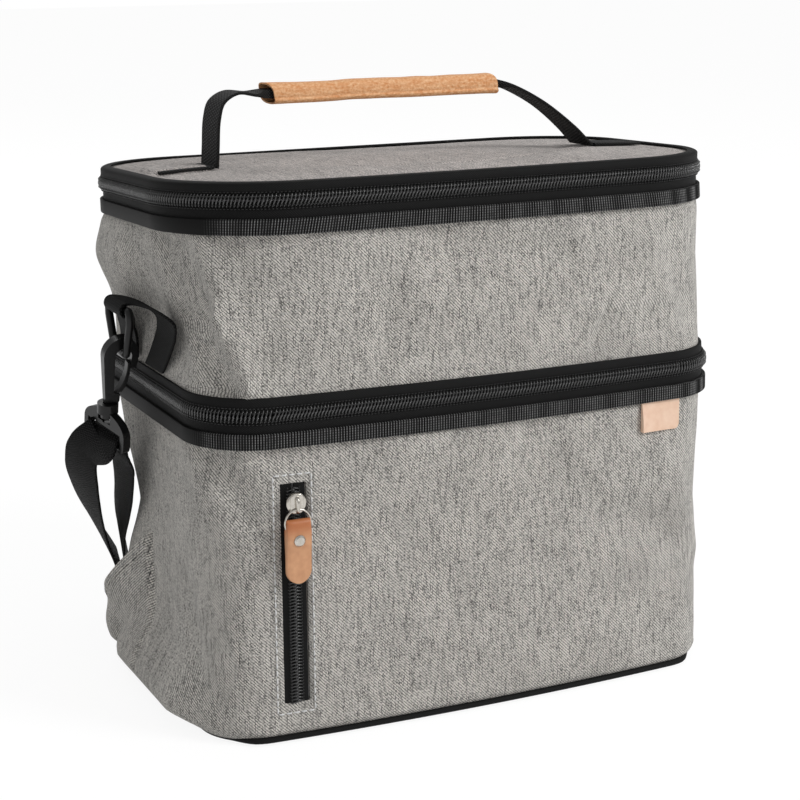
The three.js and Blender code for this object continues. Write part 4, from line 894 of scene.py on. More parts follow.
# Stitches that hold the coil to its tape, one short bead over every tooth
def coilStitches(name, zipZ, sign, start, end, body):
    u = evenStations(zipZ, start, end, zips["pitch"])
    rows = []
    for height, out in zips["threadRows"]:
        middle, ahead, outward = overWall(u, zipZ + sign * height, out)
        paths = middle[:, None] + ahead[:, None] * np.array(zips["threadAlong"])[:, None]
        paths = paths - outward[:, None] * np.array(zips["threadSunk"])[:, None]
        rows.append((paths, np.cross(ahead, outward), outward))
    paths, side, outward = (np.concatenate(part) for part in zip(*rows))
    addBars(name, paths, side, outward, zips["threadRadii"], darkThread, body)


def ribs(grid, out):  # outer points of the band's front rise and fall with the distance along it
    outer = out > out.max() - 0.2
    length = arcLength(grid)[:, len(out) // 2]
    wave = np.abs(np.sin(np.pi * length / zips["ribPitch"])) ** zips["ribPower"] - 0.5
    inFront = ease((-grid[..., 1].mean(1) - zips["ribFrom"]) / zips["ribFade"])
    outward = unit(grid * np.array([1, 1, 0]))
    return grid + outward * (zips["ribHeight"] * wave * inFront)[:, None, None] * outer[None, :, None]


# A zip between two bodies, from one end of the fabric hinge round the front to the other: tapes, teeth,
# stitches, and the ribbed band under it. reach is how far the upper tape goes up
def makeZip(word, zipZ, lower, upper, reach):
    start, end = 1, 2 * half - 1
    g, t = zips["gap"], zips["tape"]
    bandIn = 2 * g + t
    sides = (("lower", lower, "below", -1, -zips["tapeBelow"], -zips["split"]),
             ("upper", upper, "above", 1, zips["split"], reach))
    for side, body, node, _, low, high in sides:
        tape = boxSection(g, g + t, zipZ + low, zipZ + high)
        wallStrip(f"{word}_tape_{side}", tape, twillTape, body, start, end, [f"{word}_zip_tape_{node}"])
    for side, body, node, sign, _, _ in sides:
        coilTeeth(f"{word}_teeth_{side}", zipZ, sign, start, end, body, [f"{word}_zip_coil_{node}"])
    for side, body, _, sign, _, _ in sides:
        coilStitches(f"{word}_coil_thread_{side}", zipZ, sign, start, end, body)
    band = boxSection(bandIn, bandIn + zips["band"], zipZ - bag["bandBottom"], zipZ - zips["bandTop"],
                      zips["bandRound"])
    node = "lower_band" if word == "mid" else "upper_band"
    wallStrip(f"{word}_band", band, ribbedBand, lower, start, end, [node],
              ripple={"count": zips["ribRows"], "shape": ribs})


hinge = {
    "below": 14, "above": 14, "bend": 4, "sheet": 1.6, "blend": 2.5, "columns": 40, "rows": 8, "bendRows": 17,
}


# Fabric hinge at the back: one flat panel across the zip line, with close rows there.
# above is how far it goes up
def makeHinge(word, zipZ, above):
    g, bend, rows = zips["gap"], hinge["bend"], hinge["rows"]
    z = np.concatenate([np.linspace(zipZ - hinge["below"], zipZ - bend - 1, rows),
                        np.linspace(zipZ - bend, zipZ + min(bend, above), hinge["bendRows"])])
    if above > bend:
        z = np.concatenate([z, np.linspace(zipZ + bend + 1, zipZ + above, rows)])
    x = np.linspace(-hingeHalfWidth, hingeHalfWidth, hinge["columns"])
    x, z = np.meshgrid(x, z, indexing="ij")
    _, depth, _, _ = planAt(z)
    sheet = lambda out: np.stack([x, depth + out, z - leanAt(depth, z)], -1)
    grid = np.concatenate([sheet(g + hinge["sheet"]), sheet(g)[:, ::-1]], 1)
    piece = addGrid(f"{word}_hinge", grid, strapWebbing, across=True, capped=True,
                    replaces=[f"{word}_hinge_below", f"{word}_hinge_above"])
    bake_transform(piece)


lidReach = 3.4  # how far the lid's tape and hinge go up
makeZip("mid", bag["midZip"], "lower", "upper", zips["tapeAbove"])
makeZip("top", bag["topZip"], "upper", "lid", lidReach)
makeHinge("mid", bag["midZip"], hinge["above"])
makeHinge("top", bag["topZip"], lidReach)
print("zips made")


lidShape = {
    "crown": 3.5, "edge": 255.9, "lip": 3.0, "creaseBow": 52, "creaseDepth": 1.7, "creaseWidth": 1.9,
    "creaseReach": 104, "hollow": 1.2, "hollowFade": 16, "hollowEnd": 70, "hollowEndFade": 50,
    "swelling": 1.1, "swellingAt": 16, "swellingWidth": 14,
    "wave": 0.5, "waveSize": 34, "waveSeed": 21, "waveShift": 300, "waveFade": 0.1,
    "softX": 100, "softXFade": 12, "softShare": 0.9, "softShareFade": 0.15,  # where the soft shape fades out
    "bindingLow": -2.7, "bindingHigh": 0.9, "bindingOut": 0.4,
    "rimRows": (1, 0.92, 6), "crownRows": (0.905, 0.01, 62), "underShares": (0.02, 0.5, 1),
}
tailCover = {  # the cloth rises over the left handle's tail, from front to rear and from outer to inner x
    "rise": 2.4, "front": -10, "frontFade": 2.2, "rear": 18, "rearFade": 8,
    "inner": -102, "innerFade": 3, "outer": -134, "outerFade": 5,
}


def lidTop(x, y):  # the crowned top of the lid: the edge height plus a crown that falls with the square
    k = np.minimum(1, np.maximum(np.abs(x) / bag["topHalfWidth"], np.abs(y) / bag["topHalfDepth"]))
    return lidShape["edge"] + lidShape["crown"] * (1 - k * k) - leanAt(y, bag["topZip"])


# Soft shape of the lid's cloth: a narrow fold bowed towards the front from one handle foot to the other,
# a hollow behind it, a swelling in front, and slow noise, all fading to nothing at the edge
def lidWave(x, y, k):
    s, c = lidShape, tailCover
    line = -s["creaseBow"] * (1 - (x / s["creaseReach"]) ** 2)
    inside = ease((s["softX"] - np.abs(x)) / s["softXFade"])
    inside = inside * ease((s["softShare"] - k) / s["softShareFade"])
    fold = -s["creaseDepth"] * np.exp(-((y - line) / s["creaseWidth"]) ** 2)
    hollow = -s["hollow"] * ease((y - line) / s["hollowFade"]) * ease((s["hollowEnd"] - y) / s["hollowEndFade"])
    swelling = s["swelling"] * np.exp(-((y - line + s["swellingAt"]) / s["swellingWidth"]) ** 2)
    cover = ease((y - c["front"]) / c["frontFade"]) * ease((c["rear"] - y) / c["rearFade"])
    cover = cover * ease((c["inner"] - x) / c["innerFade"]) * ease((x - c["outer"]) / c["outerFade"])
    noise = lattice(x + s["waveShift"], y + s["waveShift"], s["waveSize"], s["waveSeed"])
    wave = noise * ease((1 - k) / s["waveFade"])
    return (fold + hollow + swelling) * inside + c["rise"] * cover + s["wave"] * wave


# The lid's cloth, shrunk towards its middle row by row above and below, and the binding round its edge
def makeLid():
    u = outlineStations()
    edge = wallPoint(u, np.full(len(u), bag["topZip"]), 0)
    top = lidShape["edge"]
    k = np.concatenate([np.linspace(*lidShape["rimRows"]), np.linspace(*lidShape["crownRows"])])[:, None]
    x, y = edge[None, :, 0] * k, edge[None, :, 1] * k
    z = lerp(top, top + lidShape["crown"], 1 - k * k) - leanAt(y, bag["topZip"]) + lidWave(x, y, k)
    crown = np.stack([x, y, z], -1)
    shares = np.array(lidShape["underShares"])[:, None]
    x, y = edge[None, :, 0] * shares, edge[None, :, 1] * shares
    under = np.stack([x, y, top - bag["fabric"] - leanAt(y, bag["topZip"])], -1)
    grid = np.concatenate([crown[::-1], under[::-1]])
    addGrid("lid_fabric", grid, lidCloth, "lid", across=True, capped=True, weld=True, sharp=55,
            replaces=["lid_panel"])
    g, lip = zips["gap"], lidShape["lip"]
    outer = 2 * g + zips["tape"] + lidShape["bindingOut"]
    low, high = top + lidShape["bindingLow"], top + g + lidShape["bindingHigh"]
    section = [(g, low), (outer - 0.3, low), (outer, low + 0.4), (outer, high - 1.0),
               (outer - 0.25, high - 0.45), (outer - 0.8, high - 0.05), (0.2, high + 0.35),
               (0.4 - lip, high + 0.45), (-lip, high + 0.2), (-lip, high - 0.5), (g, high - 0.9)]
    wallStrip("lid_edge_binding", section, twillTape, "lid", replaces=["lid_binding"])


makeLid()
print("lid made")


# Centripetal Catmull-Rom curve through points, with the same number of steps in every span
def catmullRom(points, steps):
    p = np.concatenate([[2 * points[0] - points[1]], points, [2 * points[-1] - points[-2]]])
    knots = np.concatenate([[0], np.cumsum(np.linalg.norm(np.diff(p, axis=0), axis=1) ** 0.5)])
    spans = []
    for k in range(len(points) - 1):
        t0, t1, t2, t3 = knots[k : k + 4]
        a, b, c, d = p[k : k + 4]
        t = np.linspace(t1, t2, steps, endpoint=k == len(points) - 2)[:, None]
        ab = ((t1 - t) * a + (t - t0) * b) / (t1 - t0)
        bc = ((t2 - t) * b + (t - t1) * c) / (t2 - t1)
        cd = ((t3 - t) * c + (t - t2) * d) / (t3 - t2)
        abc = ((t2 - t) * ab + (t - t0) * bc) / (t2 - t0)
        bcd = ((t3 - t) * bc + (t - t1) * cd) / (t3 - t1)
        spans.append(((t2 - t) * abc + (t - t1) * bcd) / (t2 - t1))
    return np.concatenate(spans)


webbingShape = {  # half of the flat section: place across the width, and share of half the thickness
    "across": (-1, -0.985, -0.94, -0.86, -0.5, 0, 0.5, 0.86, 0.94, 0.985, 1),
    "lift": (0, 0.7, 1, 0.9, 1, 1, 1, 0.9, 1, 0.7, 0),
}


# Webbing along a smooth line: a flat section with round selvedges, its width turned as the stops say.
# Each stop is x, y, z, the direction of the width, and its own width and thickness where they differ.
# square turns the width across the line
def webbingGrid(stops, width, thickness, steps, square=True):
    points = np.array([s[:3] for s in stops], float)
    line = catmullRom(points, steps)
    count = len(line)
    place = np.minimum(np.arange(count) / steps, len(stops) - 1)
    whole = np.arange(len(stops))
    side = np.stack([np.interp(place, whole, [s[3][k] for s in stops]) for k in range(3)], 1)
    wide = np.interp(place, whole, [s[4] if len(s) > 4 else width for s in stops])
    thick = np.interp(place, whole, [s[5] if len(s) > 5 else thickness for s in stops])
    along = unit(np.gradient(line, axis=0))
    if square:
        side = side - along * (side * along).sum(1, keepdims=True)
    side = unit(side)
    up = unit(np.cross(along, side))
    p, q = np.array(webbingShape["across"]), np.array(webbingShape["lift"])
    across = np.concatenate([p, p[-2:0:-1]])
    lift = np.concatenate([q, -q[-2:0:-1]])
    return (line[:, None] + side[:, None] * (across[None] * wide[:, None] / 2)[..., None]
            + up[:, None] * (lift[None] * thick[:, None] / 2)[..., None])


def addWebbing(name, grid, material, body=None, replaces=(), uStart=0.0):
    return addGrid(name, grid, material, body, across=True, capped=True, replaces=replaces,
                   sharp=70, uStart=uStart)


handle = {
    "halfSpan": 100, "rise": 32.4, "width": 22, "thickness": 1.4, "foldedWidth": 7.2, "foldedHeight": 4.2,
    "stand": 1.0, "tailStand": 1.2, "tailFrom": 1.5, "endLength": 27, "bend": 17,
}
wrap = {
    "length": 120, "shift": -12, "height": 9.6, "depth": 10, "squareness": 0.62, "hollowShare": 0.84,
    "rows": 90, "around": 72, "flare": 0.05, "askew": 1.68, "dent": 0.03, "dentSize": 9, "sway": 0.25,
    "swaySize": 30, "lapAt": 1.08 * np.pi, "lapWidth": 0.09, "lapSunk": 0.12, "lapLow": 0.02,
    "lapRaised": 0.07, "lapReach": 0.8,
}


# One strap from foot to foot, folded to a narrow section inside the wrap and flat outside it, and the two
# sewn tails beyond its feet
def makeHandle():
    slope = bag["topLean"] / (2 * bag["topHalfDepth"])
    downLid = (0, 1, -slope)
    foot = float(lidTop(handle["halfSpan"], 0)) + handle["stand"]
    top = foot + handle["rise"]
    reach = wrap["length"] / 2 + 1
    left, right = -handle["halfSpan"], handle["halfSpan"]
    wrapLeft, wrapRight = wrap["shift"] - reach, wrap["shift"] + reach
    fw, fh, w = handle["foldedWidth"], handle["foldedHeight"], handle["width"]
    twisted = (0.25, 0.95, -0.15)
    third = 2 * reach / 3
    stops = [
        (left, 0, foot, downLid), (left + 0.5, 0, foot + 9, downLid), (left + 1.5, 0, foot + 22, downLid),
        (left + 4, 0, top - 3, downLid), (left + 11, 0, top + 1, downLid),
        (wrapLeft - 6, 0, top, (0, 1, 0), w - 3), (wrapLeft + 1, 0, top, (0, 1, 0), fw, fh),
        (wrapLeft + third, 0, top, (0, 1, 0), fw, fh), (wrapRight - third, 0, top, (0, 1, 0), fw, fh),
        (wrapRight - 6, 0, top, (0, 1, 0), fw, fh), (wrapRight, 0, top, (0, 1, 0), fw, fh),
        (wrapRight + 8, 0, top - 2, twisted, w - 3), (lerp(wrapRight, right, 0.5), 0, top - 11, twisted),
        (lerp(wrapRight, right, 0.82), 0, foot + 9, (0.1, 1, -0.1)), (right, 0, foot, downLid),
    ]
    grid = webbingGrid(stops, w, handle["thickness"], 12)
    strap = addWebbing("handle_strap", grid, handleWebbing, replaces=["handle_webbing"])
    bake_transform(strap)
    for word, side in (("left", -1), ("right", 1)):
        x = side * (handle["halfSpan"] + handle["tailFrom"] + np.linspace(0, handle["endLength"], 6))
        ends = [(float(v), 0, float(lidTop(v, 0)) + handle["tailStand"], downLid) for v in x]
        grid = webbingGrid(ends, w, handle["thickness"], 6)
        addWebbing(f"handle_tail_{word}", grid, handleWebbing, "lid", [f"handle_end_{word}"])
    makeWrap(top)


# The cork-faced wrap: a sleeve between an ellipse and a rectangle, whose lap runs along the front, with
# soft dents and flared ends
def makeWrap(top):
    w = wrap
    t = np.linspace(-1, 1, w["rows"])[:, None]
    a = np.linspace(0, 2 * np.pi, w["around"], endpoint=False)[None]
    x = w["shift"] + t * (w["length"] / 2 - 1) + 0 * a
    power = lambda v: np.sign(v) * np.abs(v) ** w["squareness"]
    flare = 1 + w["flare"] * np.abs(t) ** 8
    x = x - w["askew"] * (np.cos(a) + np.sin(a)) * np.abs(t) ** 6  # the ends are cut a little askew
    dent = 1 + w["dent"] * lattice(x + 200, a * 4 + 20, w["dentSize"], 5)
    y = power(np.cos(a)) * w["depth"] / 2 * flare * dent
    z = power(np.sin(a)) * w["height"] / 2 * flare * dent
    lap = np.abs(np.mod(a - w["lapAt"], 2 * np.pi))
    groove = np.exp(-((np.minimum(lap, 2 * np.pi - lap)) / w["lapWidth"]) ** 2)
    y = y * (1 - w["lapSunk"] * groove + w["lapRaised"] * np.exp(-lap / w["lapReach"]))
    z = z * (1 - w["lapLow"] * groove) + w["sway"] * lattice(x + 50, a * 0 + 3, w["swaySize"], 9)
    outer = np.stack([x, y, z + top], -1)
    inner = np.stack([x, y * w["hollowShare"], z * w["hollowShare"] + top], -1)
    grid = np.concatenate([outer, inner[::-1]])
    addGrid("handle_sleeve", grid, corkWrap, "handle", around=True, across=True, replaces=["handle_wrap"],
            sharp=60)


makeHandle()
print("handle made")


# A rigid moulding of the frame, with its doubles merged and its edges rounded by a width
def roundedCopy(node, name, width, body, material=mouldedPlastic, segments=2, angle=30):
    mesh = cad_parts[node].data.copy()
    mesh.name = name
    work = bmesh.new()
    work.from_mesh(mesh)
    bmesh.ops.remove_doubles(work, verts=work.verts, dist=2e-6)
    bmesh.ops.dissolve_limit(work, angle_limit=radians(2), verts=work.verts, edges=work.edges)
    work.to_mesh(mesh)
    work.free()
    mesh.materials.clear()
    mesh.polygons.foreach_set("use_smooth", [True] * len(mesh.polygons))
    mesh.set_sharp_from_angle(angle=radians(angle))
    piece = addPiece(mesh, material, body, [node])
    soften(piece, width, segments, angle)
    return piece


def pointsOf(piece):  # a mesh's vertices in millimetres
    flat = np.empty(3 * len(piece.data.vertices))
    piece.data.vertices.foreach_get("co", flat)
    return flat.reshape(-1, 3) / mm


hook = {
    "x": 152.65, "y": -2, "pivotZ": 170.5, "lean": 12, "arc": -1.1, "shank": 23.5, "taper": 1.5, "block": 1.8,
    "thinning": 0.3, "blockFrom": 3.4,
}


# The hook's shank narrows towards its neck: with s the share of the way down from the arc,
# its outer face moves in by a share of s, its thickness shrinks by another, and the block moves out.
# The right hook is the left one turned half round, and both are levelled first
def taperHook(piece, word):
    vertices = piece.data.vertices
    x, y, z = pointsOf(piece).T
    sideways = -1 if word == "left" else 1
    x, y = x * sideways, y * -sideways
    turn = radians(hook["lean"])
    y, z = y - hook["y"], z - hook["pivotZ"]
    y, z = y * np.cos(turn) + z * np.sin(turn), z * np.cos(turn) - y * np.sin(turn)
    s = np.clip((hook["arc"] - z) / hook["shank"], 0, 1) * (z > hook["arc"] - hook["shank"] - 0.5)
    inside = x < hook["x"] - hook["blockFrom"]
    x = np.where(x > hook["x"], x - hook["taper"] * s, x + hook["block"] * s * inside)
    y = y * (1 - hook["thinning"] * s)
    y, z = y * np.cos(turn) - z * np.sin(turn) + hook["y"], y * np.sin(turn) + z * np.cos(turn) + hook["pivotZ"]
    vertices.foreach_set("co", (np.stack([x * sideways, y * -sideways, z], 1) * mm).ravel())
    piece.data.update()


def makeHardware():
    for word in ("left", "right"):
        roundedCopy(f"{word}_ring", f"{word}_triangle_ring", 0.1, "strap_bail", segments=1, angle=60)
        piece = roundedCopy(f"{word}_hook", f"{word}_snap_hook", 0.9, f"{word}_hook", segments=3)
        taperHook(piece, word)
        roundedCopy(f"{word}_gate", f"{word}_hook_gate", 0.25, f"{word}_gate")
        roundedCopy(f"{word}_swivel_base", f"{word}_swivel", 0.5, f"{word}_swivel", segments=3)
    roundedCopy("strap_adjuster", "strap_slide", 0.4, "strap_bail")
    for word in ("mid", "top"):
        roundedCopy(f"{word}_slider", f"{word}_zip_slider", 0.25, f"{word}_slider")
        roundedCopy(f"{word}_pull", f"{word}_zip_pull", 0.2, f"{word}_pull")
    roundedCopy("pocket_ring", "pocket_split_ring", 0.05, "pocket_pull", nickelPlate, 1, 60)
    roundedCopy("pocket_rivet", "pocket_tab_rivet", 0.15, "pocket_pull", nickelPlate, 2, 40)


makeHardware()

metal = {
    "disc": 4.75, "dome": 0.8, "discSunk": 0.35, "discBack": 1.0, "discPoints": 56, "face": 3.0,
    "plateHalfWidth": 3.1, "plateHalfHeight": 4.6, "bridgeHigh": 3.6, "bridgeLow": -4.6,
    "bridgeWidth": 1.25, "bridgeTaper": 0.25, "bridgeRise": 2.7, "bridgeSunk": 0.3, "bridgeBack": 0.6,
    "discShares": (0.02, 0.3, 0.55, 0.75, 0.88, 0.95, 0.99, 1, 0.99, 0.95, 0.7, 0.02), "discFront": 8,
    "plateShares": (0.02, 0.9, 0.97, 1, 1, 0.9, 0.02), "plateOut": (0.6, 0.6, 0.5, 0.3, -2.4, -2.4, -2.4),
}


def nodeBox(name):  # lowest and highest corner of a node of the frame, in millimetres
    points = pointsOf(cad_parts[name])
    return points.min(0), points.max(0)


# Pocket slider: a domed disc over a small plate, with a pear-shaped bridge that holds the ring.
# The disc's height falls with the root of one less the radius squared, and the bridge is half an ellipse
# across at each height
def makePocketSlider():
    low, high = nodeBox("pocket_slider")
    x, z = pocket["x"], (low[2] + high[2]) / 2
    face = low[1] + metal["face"]
    angle = np.linspace(0, 2 * np.pi, metal["discPoints"], endpoint=False)[:, None]
    share = np.array(metal["discShares"])[None]
    r = share * metal["disc"]
    back = np.arange(share.size)[None] >= metal["discFront"]
    domed = metal["dome"] * np.sqrt(1 - share ** 2) - metal["discSunk"]
    out = np.where(back, -metal["discBack"], domed)
    grid = np.stack([x + r * np.cos(angle), face - out + 0 * angle, z + r * np.sin(angle)], -1)
    addGrid("pocket_slider_disc", grid, nickelPlate, "pocket_slider", around=True, weld=True, sharp=50,
            replaces=["pocket_slider"])
    power = lambda a: np.sign(a) * np.abs(a) ** 0.5
    r, out = np.array(metal["plateShares"])[None], np.array(metal["plateOut"])[None]
    plateX = x + metal["plateHalfWidth"] * r * power(np.cos(angle))
    plateZ = z + metal["plateHalfHeight"] * r * power(np.sin(angle))
    grid = np.stack([plateX, face - out + 0 * angle, plateZ], -1)
    addGrid("pocket_slider_plate", grid, nickelPlate, "pocket_slider", around=True, weld=True, sharp=50)
    t = np.linspace(0, 1, 40)[:, None]
    turn = np.linspace(0, 2 * np.pi, 24, endpoint=False)[None]
    swell = np.sqrt(np.maximum(1 - (2 * t - 1) ** 4, 1e-5))
    wide = metal["bridgeWidth"] * swell * (1 - metal["bridgeTaper"] * t)
    rise = metal["bridgeRise"] * swell * (0.75 + 0.25 * np.sin(np.pi * t))
    bridgeY = face - metal["bridgeSunk"] - np.maximum(rise * np.sin(turn), -metal["bridgeBack"])
    bridgeZ = z + lerp(metal["bridgeHigh"], metal["bridgeLow"], t) + 0 * turn
    grid = np.stack([x + wide * np.cos(turn), bridgeY, bridgeZ], -1)
    addGrid("pocket_slider_bridge", grid, nickelPlate, "pocket_slider", across=True, capped=True, sharp=70)


tab = {
    "width": 12.4, "length": 30, "half": 1.9, "leaf": 1.1, "narrowing": 0.35, "narrowFrom": 6, "narrowFade": 5,
    "foldFrom": 17, "foldFade": 6, "across": (-1, -0.985, -0.95, -0.88, -0.5, 0, 0.5, 0.88, 0.95, 0.985),
    "lift": (0, 0.55, 0.85, 1, 1.03, 1.05, 1.03, 1, 0.85, 0.55),
}


# Leather tab folded over the ring: a slab whose outline ends in a half circle below and a round fold above
def makePocketTab():
    low, high = nodeBox("pocket_tab")
    y = (low[1] + high[1]) / 2
    top, bottom, w = high[2], high[2] - tab["length"], tab["width"] / 2
    endTurn, foldTurn = np.linspace(0.04, np.pi / 2, 16), np.linspace(0.12, np.pi / 2 - 0.06, 9)
    straight = np.linspace(bottom + w, top - tab["half"], 30)[1:]
    z = [bottom + w * (1 - np.cos(endTurn)), straight, top - tab["half"] * (1 - np.sin(foldTurn))]
    z = np.concatenate(z)[:, None]
    wide = np.where(z < bottom + w, np.sqrt(np.maximum(w * w - (bottom + w - z) ** 2, 0)), w)
    wide = wide - tab["narrowing"] * ease((z - top + tab["narrowFrom"]) / tab["narrowFade"])
    thick = lerp(tab["leaf"], tab["half"], ease((z - top + tab["foldFrom"]) / tab["foldFade"]))
    over = np.clip((z - top + tab["half"]) / tab["half"], 0, 1)
    thick = thick * np.sqrt(1 - over ** 2)
    p, q = np.array(tab["across"]), np.array(tab["lift"])
    across = np.concatenate([p, -p])[None]
    lift = np.concatenate([q, -q])[None]
    grid = np.stack([pocket["x"] + wide * across, y - thick * lift, z + 0 * across], -1)
    addGrid("pocket_leather_tab", grid, tanLeather, "pocket_pull", across=True, capped=True, sharp=75,
            replaces=["pocket_tab"])


makePocketSlider()
makePocketTab()


hardware = {
    "ringX": 146.5, "ringZ": 192, "barRadius": 2, "gap": 0.3, "webbing": 1.4, "strapWidth": 25,
    "loopFoot": 165.0, "wallAt": 163.0, "loopStand": 0.7,
    "frameBar": (152.65, 7.0, 128.15), "frameBarAlong": (0.2756, 0.9403, 0.1999), "frameBarRadius": 1.9,
    "adjusterX": -45, "adjusterPitch": 9, "adjusterHeight": 5.2, "adjusterBarRadius": 1.2, "behind": 112,
    "bendFrom": 46, "bendShare": 0.08,  # the strap is cut into its ends above this height
    "wideTurn": 2.2, "crossing": 4.6, "standing": 0.65,
}


# Stops on a circle round a bar: angle 0 is out, 90 is up
def aroundBar(at, along, out, radius, angles):
    at, along, out = (np.array(v, float) for v in (at, along, out))
    level = unit(out - along * (out @ along))
    up = np.cross(along, level)
    up *= np.sign(up[2])
    a = np.radians(angles)
    return [(*(at + radius * (np.cos(t) * level + np.sin(t) * up)), tuple(along)) for t in a]


# Each side's loop of webbing: up the wall, round the ring's bar and down again. It is cut half way round the
# bar into two legs
def makeLoops():
    h = hardware
    wall = float(planAt(np.array(h["wallAt"]))[0])
    near = wall + h["gap"] + h["webbing"] / 2 + h["loopStand"]
    foot, barX, barZ = h["loopFoot"], h["ringX"], h["ringZ"]
    roundBar = h["barRadius"] + h["gap"] + h["webbing"] / 2
    across = (0, 1, 0)
    stop = lambda out, along, up: (lerp(near, barX, out), along * h["strapWidth"], lerp(foot, barZ, up), across)
    stops = [
        stop(0, -0.64, 0), stop(0.07, -1.08, 0.33), stop(0.16, -1.6, 0.81), stop(0.3, -1.76, 1.04),
        stop(0.5, -1.44, 1.15), stop(0.75, -0.56, 1.17),
        *aroundBar((barX, 0, barZ), across, (1, 0, 0), roundBar, [90, 60, 30, 0, -30, -60, -90, -135]),
        stop(0.45, 0.36, 0.67), stop(0.09, 0.68, 0.33), stop(0, 0.84, 0),
    ]
    mirrored = lambda s, x, y: (s[0] * x, s[1] * y, s[2], s[3])
    steps = 8
    cut = 8 * steps  # the row half way round the bar, where the loop is cut
    for word, x, y in (("left", -1, 1), ("right", 1, -1)):
        grid = webbingGrid([mirrored(s, x, y) for s in stops], h["strapWidth"], h["webbing"], steps, False)
        run = arcLength(grid.mean(1))
        node = [f"{word}_strap_loop"]
        front = addWebbing(f"{word}_webbing_loop", grid[: cut + 1], strapWebbing, replaces=node)
        rear = addWebbing(f"{word}_webbing_loop_rear", grid[cut:], strapWebbing, uStart=run[cut])
        legs = ((front, (-30, 177.5), (-10.6, 199.2)), (rear, (21, foot), (1, barZ - 3)))
        for piece, (y0, z0), (y1, z1) in legs:
            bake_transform(piece)


# The shoulder strap as one length: from the adjuster up to the left bar and back down, through the
# adjuster behind the bag, and up round the right bar. x, y and z of a place are shares of the half width,
# of the distance behind and of the bar's height. It is cut where it passes bendFrom
def makeStrap():
    h = hardware
    roundBar = h["frameBarRadius"] + 2 * h["gap"] + h["webbing"] / 2
    below, wide = roundBar * 2 ** 0.5, h["wideTurn"] * roundBar
    across = (0, 1, 0)
    low = 1.5 * h["gap"] + h["webbing"] / 2
    y, height = h["behind"], h["adjusterHeight"]
    left = h["adjusterX"] - h["adjusterPitch"]
    turn = h["adjusterBarRadius"] + h["gap"] + h["webbing"] / 2
    flip = lambda v: (-v[0], v[1], v[2])
    leftBar = (flip(h["frameBar"]), flip(h["frameBarAlong"]), (-1, 0, 0))
    rightBar = (h["frameBar"], h["frameBarAlong"], (1, 0, 0))
    rearBar = lambda x: ((x, y, height), across, (1, 0, 0))
    x0 = h["adjusterX"]
    barZ = h["frameBar"][2]
    place = lambda x, back, z, turned: (x * bag["baseHalfWidth"], back * y, z * barZ, turned)

    def outerRun(side):  # the run towards the back, further out, which twists on its way down
        return [
            (*place(1.181 * side, 0.2, 0.925, (0.45 * side, 0.88, 0.12)), 19),
            (*place(1.165 * side, 0.305, 0.812, (0.36 * side, 0.92, 0.15)), 23),
            place(1.126 * side, 0.421, 0.694, (0.22 * side, 0.93, 0.2)),
            place(1.077 * side, 0.539, 0.58, (0.1 * side, 0.95, 0.2)),
            place(1.018 * side, 0.655, 0.463, (-0.02 * side, 0.95, 0.25)),
            place(0.956 * side, 0.762, 0.359, (-0.1 * side, 0.9, 0.4)),
            place(0.894 * side, 0.868, 0.248, (-0.12 * side, 0.85, 0.45)),
            place(0.834 * side, 0.973, 0.117, (-0.05 * side, 0.95, 0.3)),
            place(0.738 * side, 1, 0.031, across),
        ]

    stops = [
        (left - 12, y, height - turn, across), *aroundBar(*rearBar(left), turn, [-90, -60, -30, 0, 30, 60, 90]),
        (left - 14, y, height + 0.6, across), (left - 32, y, height - turn + 0.9, across),
        place(-0.76, 0.98, 0.064, across), place(-0.83, 0.89, 0.17, (0.1, 0.85, 0.5)),
        place(-0.913, 0.71, 0.36, (0.18, 0.72, 0.65)), place(-0.947, 0.623, 0.443, (0.12, 0.77, 0.62)),
        place(-0.975, 0.518, 0.552, (0.08, 0.8, 0.6)), place(-0.996, 0.393, 0.667, (0, 0.83, 0.55)),
        place(-1.018, 0.286, 0.766, (-0.08, 0.86, 0.5)), place(-1.052, 0.161, 0.886, (-0.12, 0.9, 0.4)),
        *aroundBar(*leftBar, wide, [238]), *aroundBar(*leftBar, below, [225]),
        *aroundBar(*leftBar, roundBar, [180, 150, 120, 90, 60, 30, 0]), *outerRun(-1),
        (left - 30, y, low + 0.2, across), (left, y, low, across),
        (x0 - h["crossing"], y, low + h["standing"], across),
        *aroundBar(*rearBar(x0), turn, [190, 150, 120, 90, 60, 30, -10]),
        (x0 + h["crossing"], y, low + h["standing"], across), (x0 + h["adjusterPitch"], y, low, across),
        (x0 + 2.4 * h["adjusterPitch"], y, low, across),
        place(0.074, 1.018, 0, across), place(0.443, 1, 0, across), *outerRun(1)[::-1],
        *aroundBar(*rightBar, roundBar, [0, 30, 60, 90, 120, 150, 180]), *aroundBar(*rightBar, below, [225]),
        *aroundBar(*rightBar, wide, [238]),
        place(1.114, 0.098, 0.913, (0.2, 1, 0.1)), place(1.125, 0.161, 0.843, (0.2, 1, 0.1)),
    ]
    stops = [(s[0], s[1], max(s[2], low), *s[3:]) for s in stops]
    grid = webbingGrid(stops, h["strapWidth"], h["webbing"], 8)
    middle = grid.mean(1)
    run = arcLength(middle)
    cuts = np.flatnonzero(np.diff(middle[:, 2] > h["bendFrom"]))
    ends = [0, *cuts, len(grid) - 1]
    names = ("shoulder_webbing_tail", "shoulder_webbing_left", "shoulder_webbing", "shoulder_webbing_right")
    for name, low, high in zip(names, ends, ends[1:]):
        piece = addWebbing(name, grid[low : high + 1], strapWebbing, uStart=run[low])
        if name == "shoulder_webbing":
            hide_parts("shoulder_strap")
        word = name.rpartition("_")[2]
        if word in ("left", "right"):  # the ends of the strap are baked in place, not attached to a body
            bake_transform(piece)
        else:
            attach(piece, "strap_bail")


makeLoops()
makeStrap()
print("strap made")


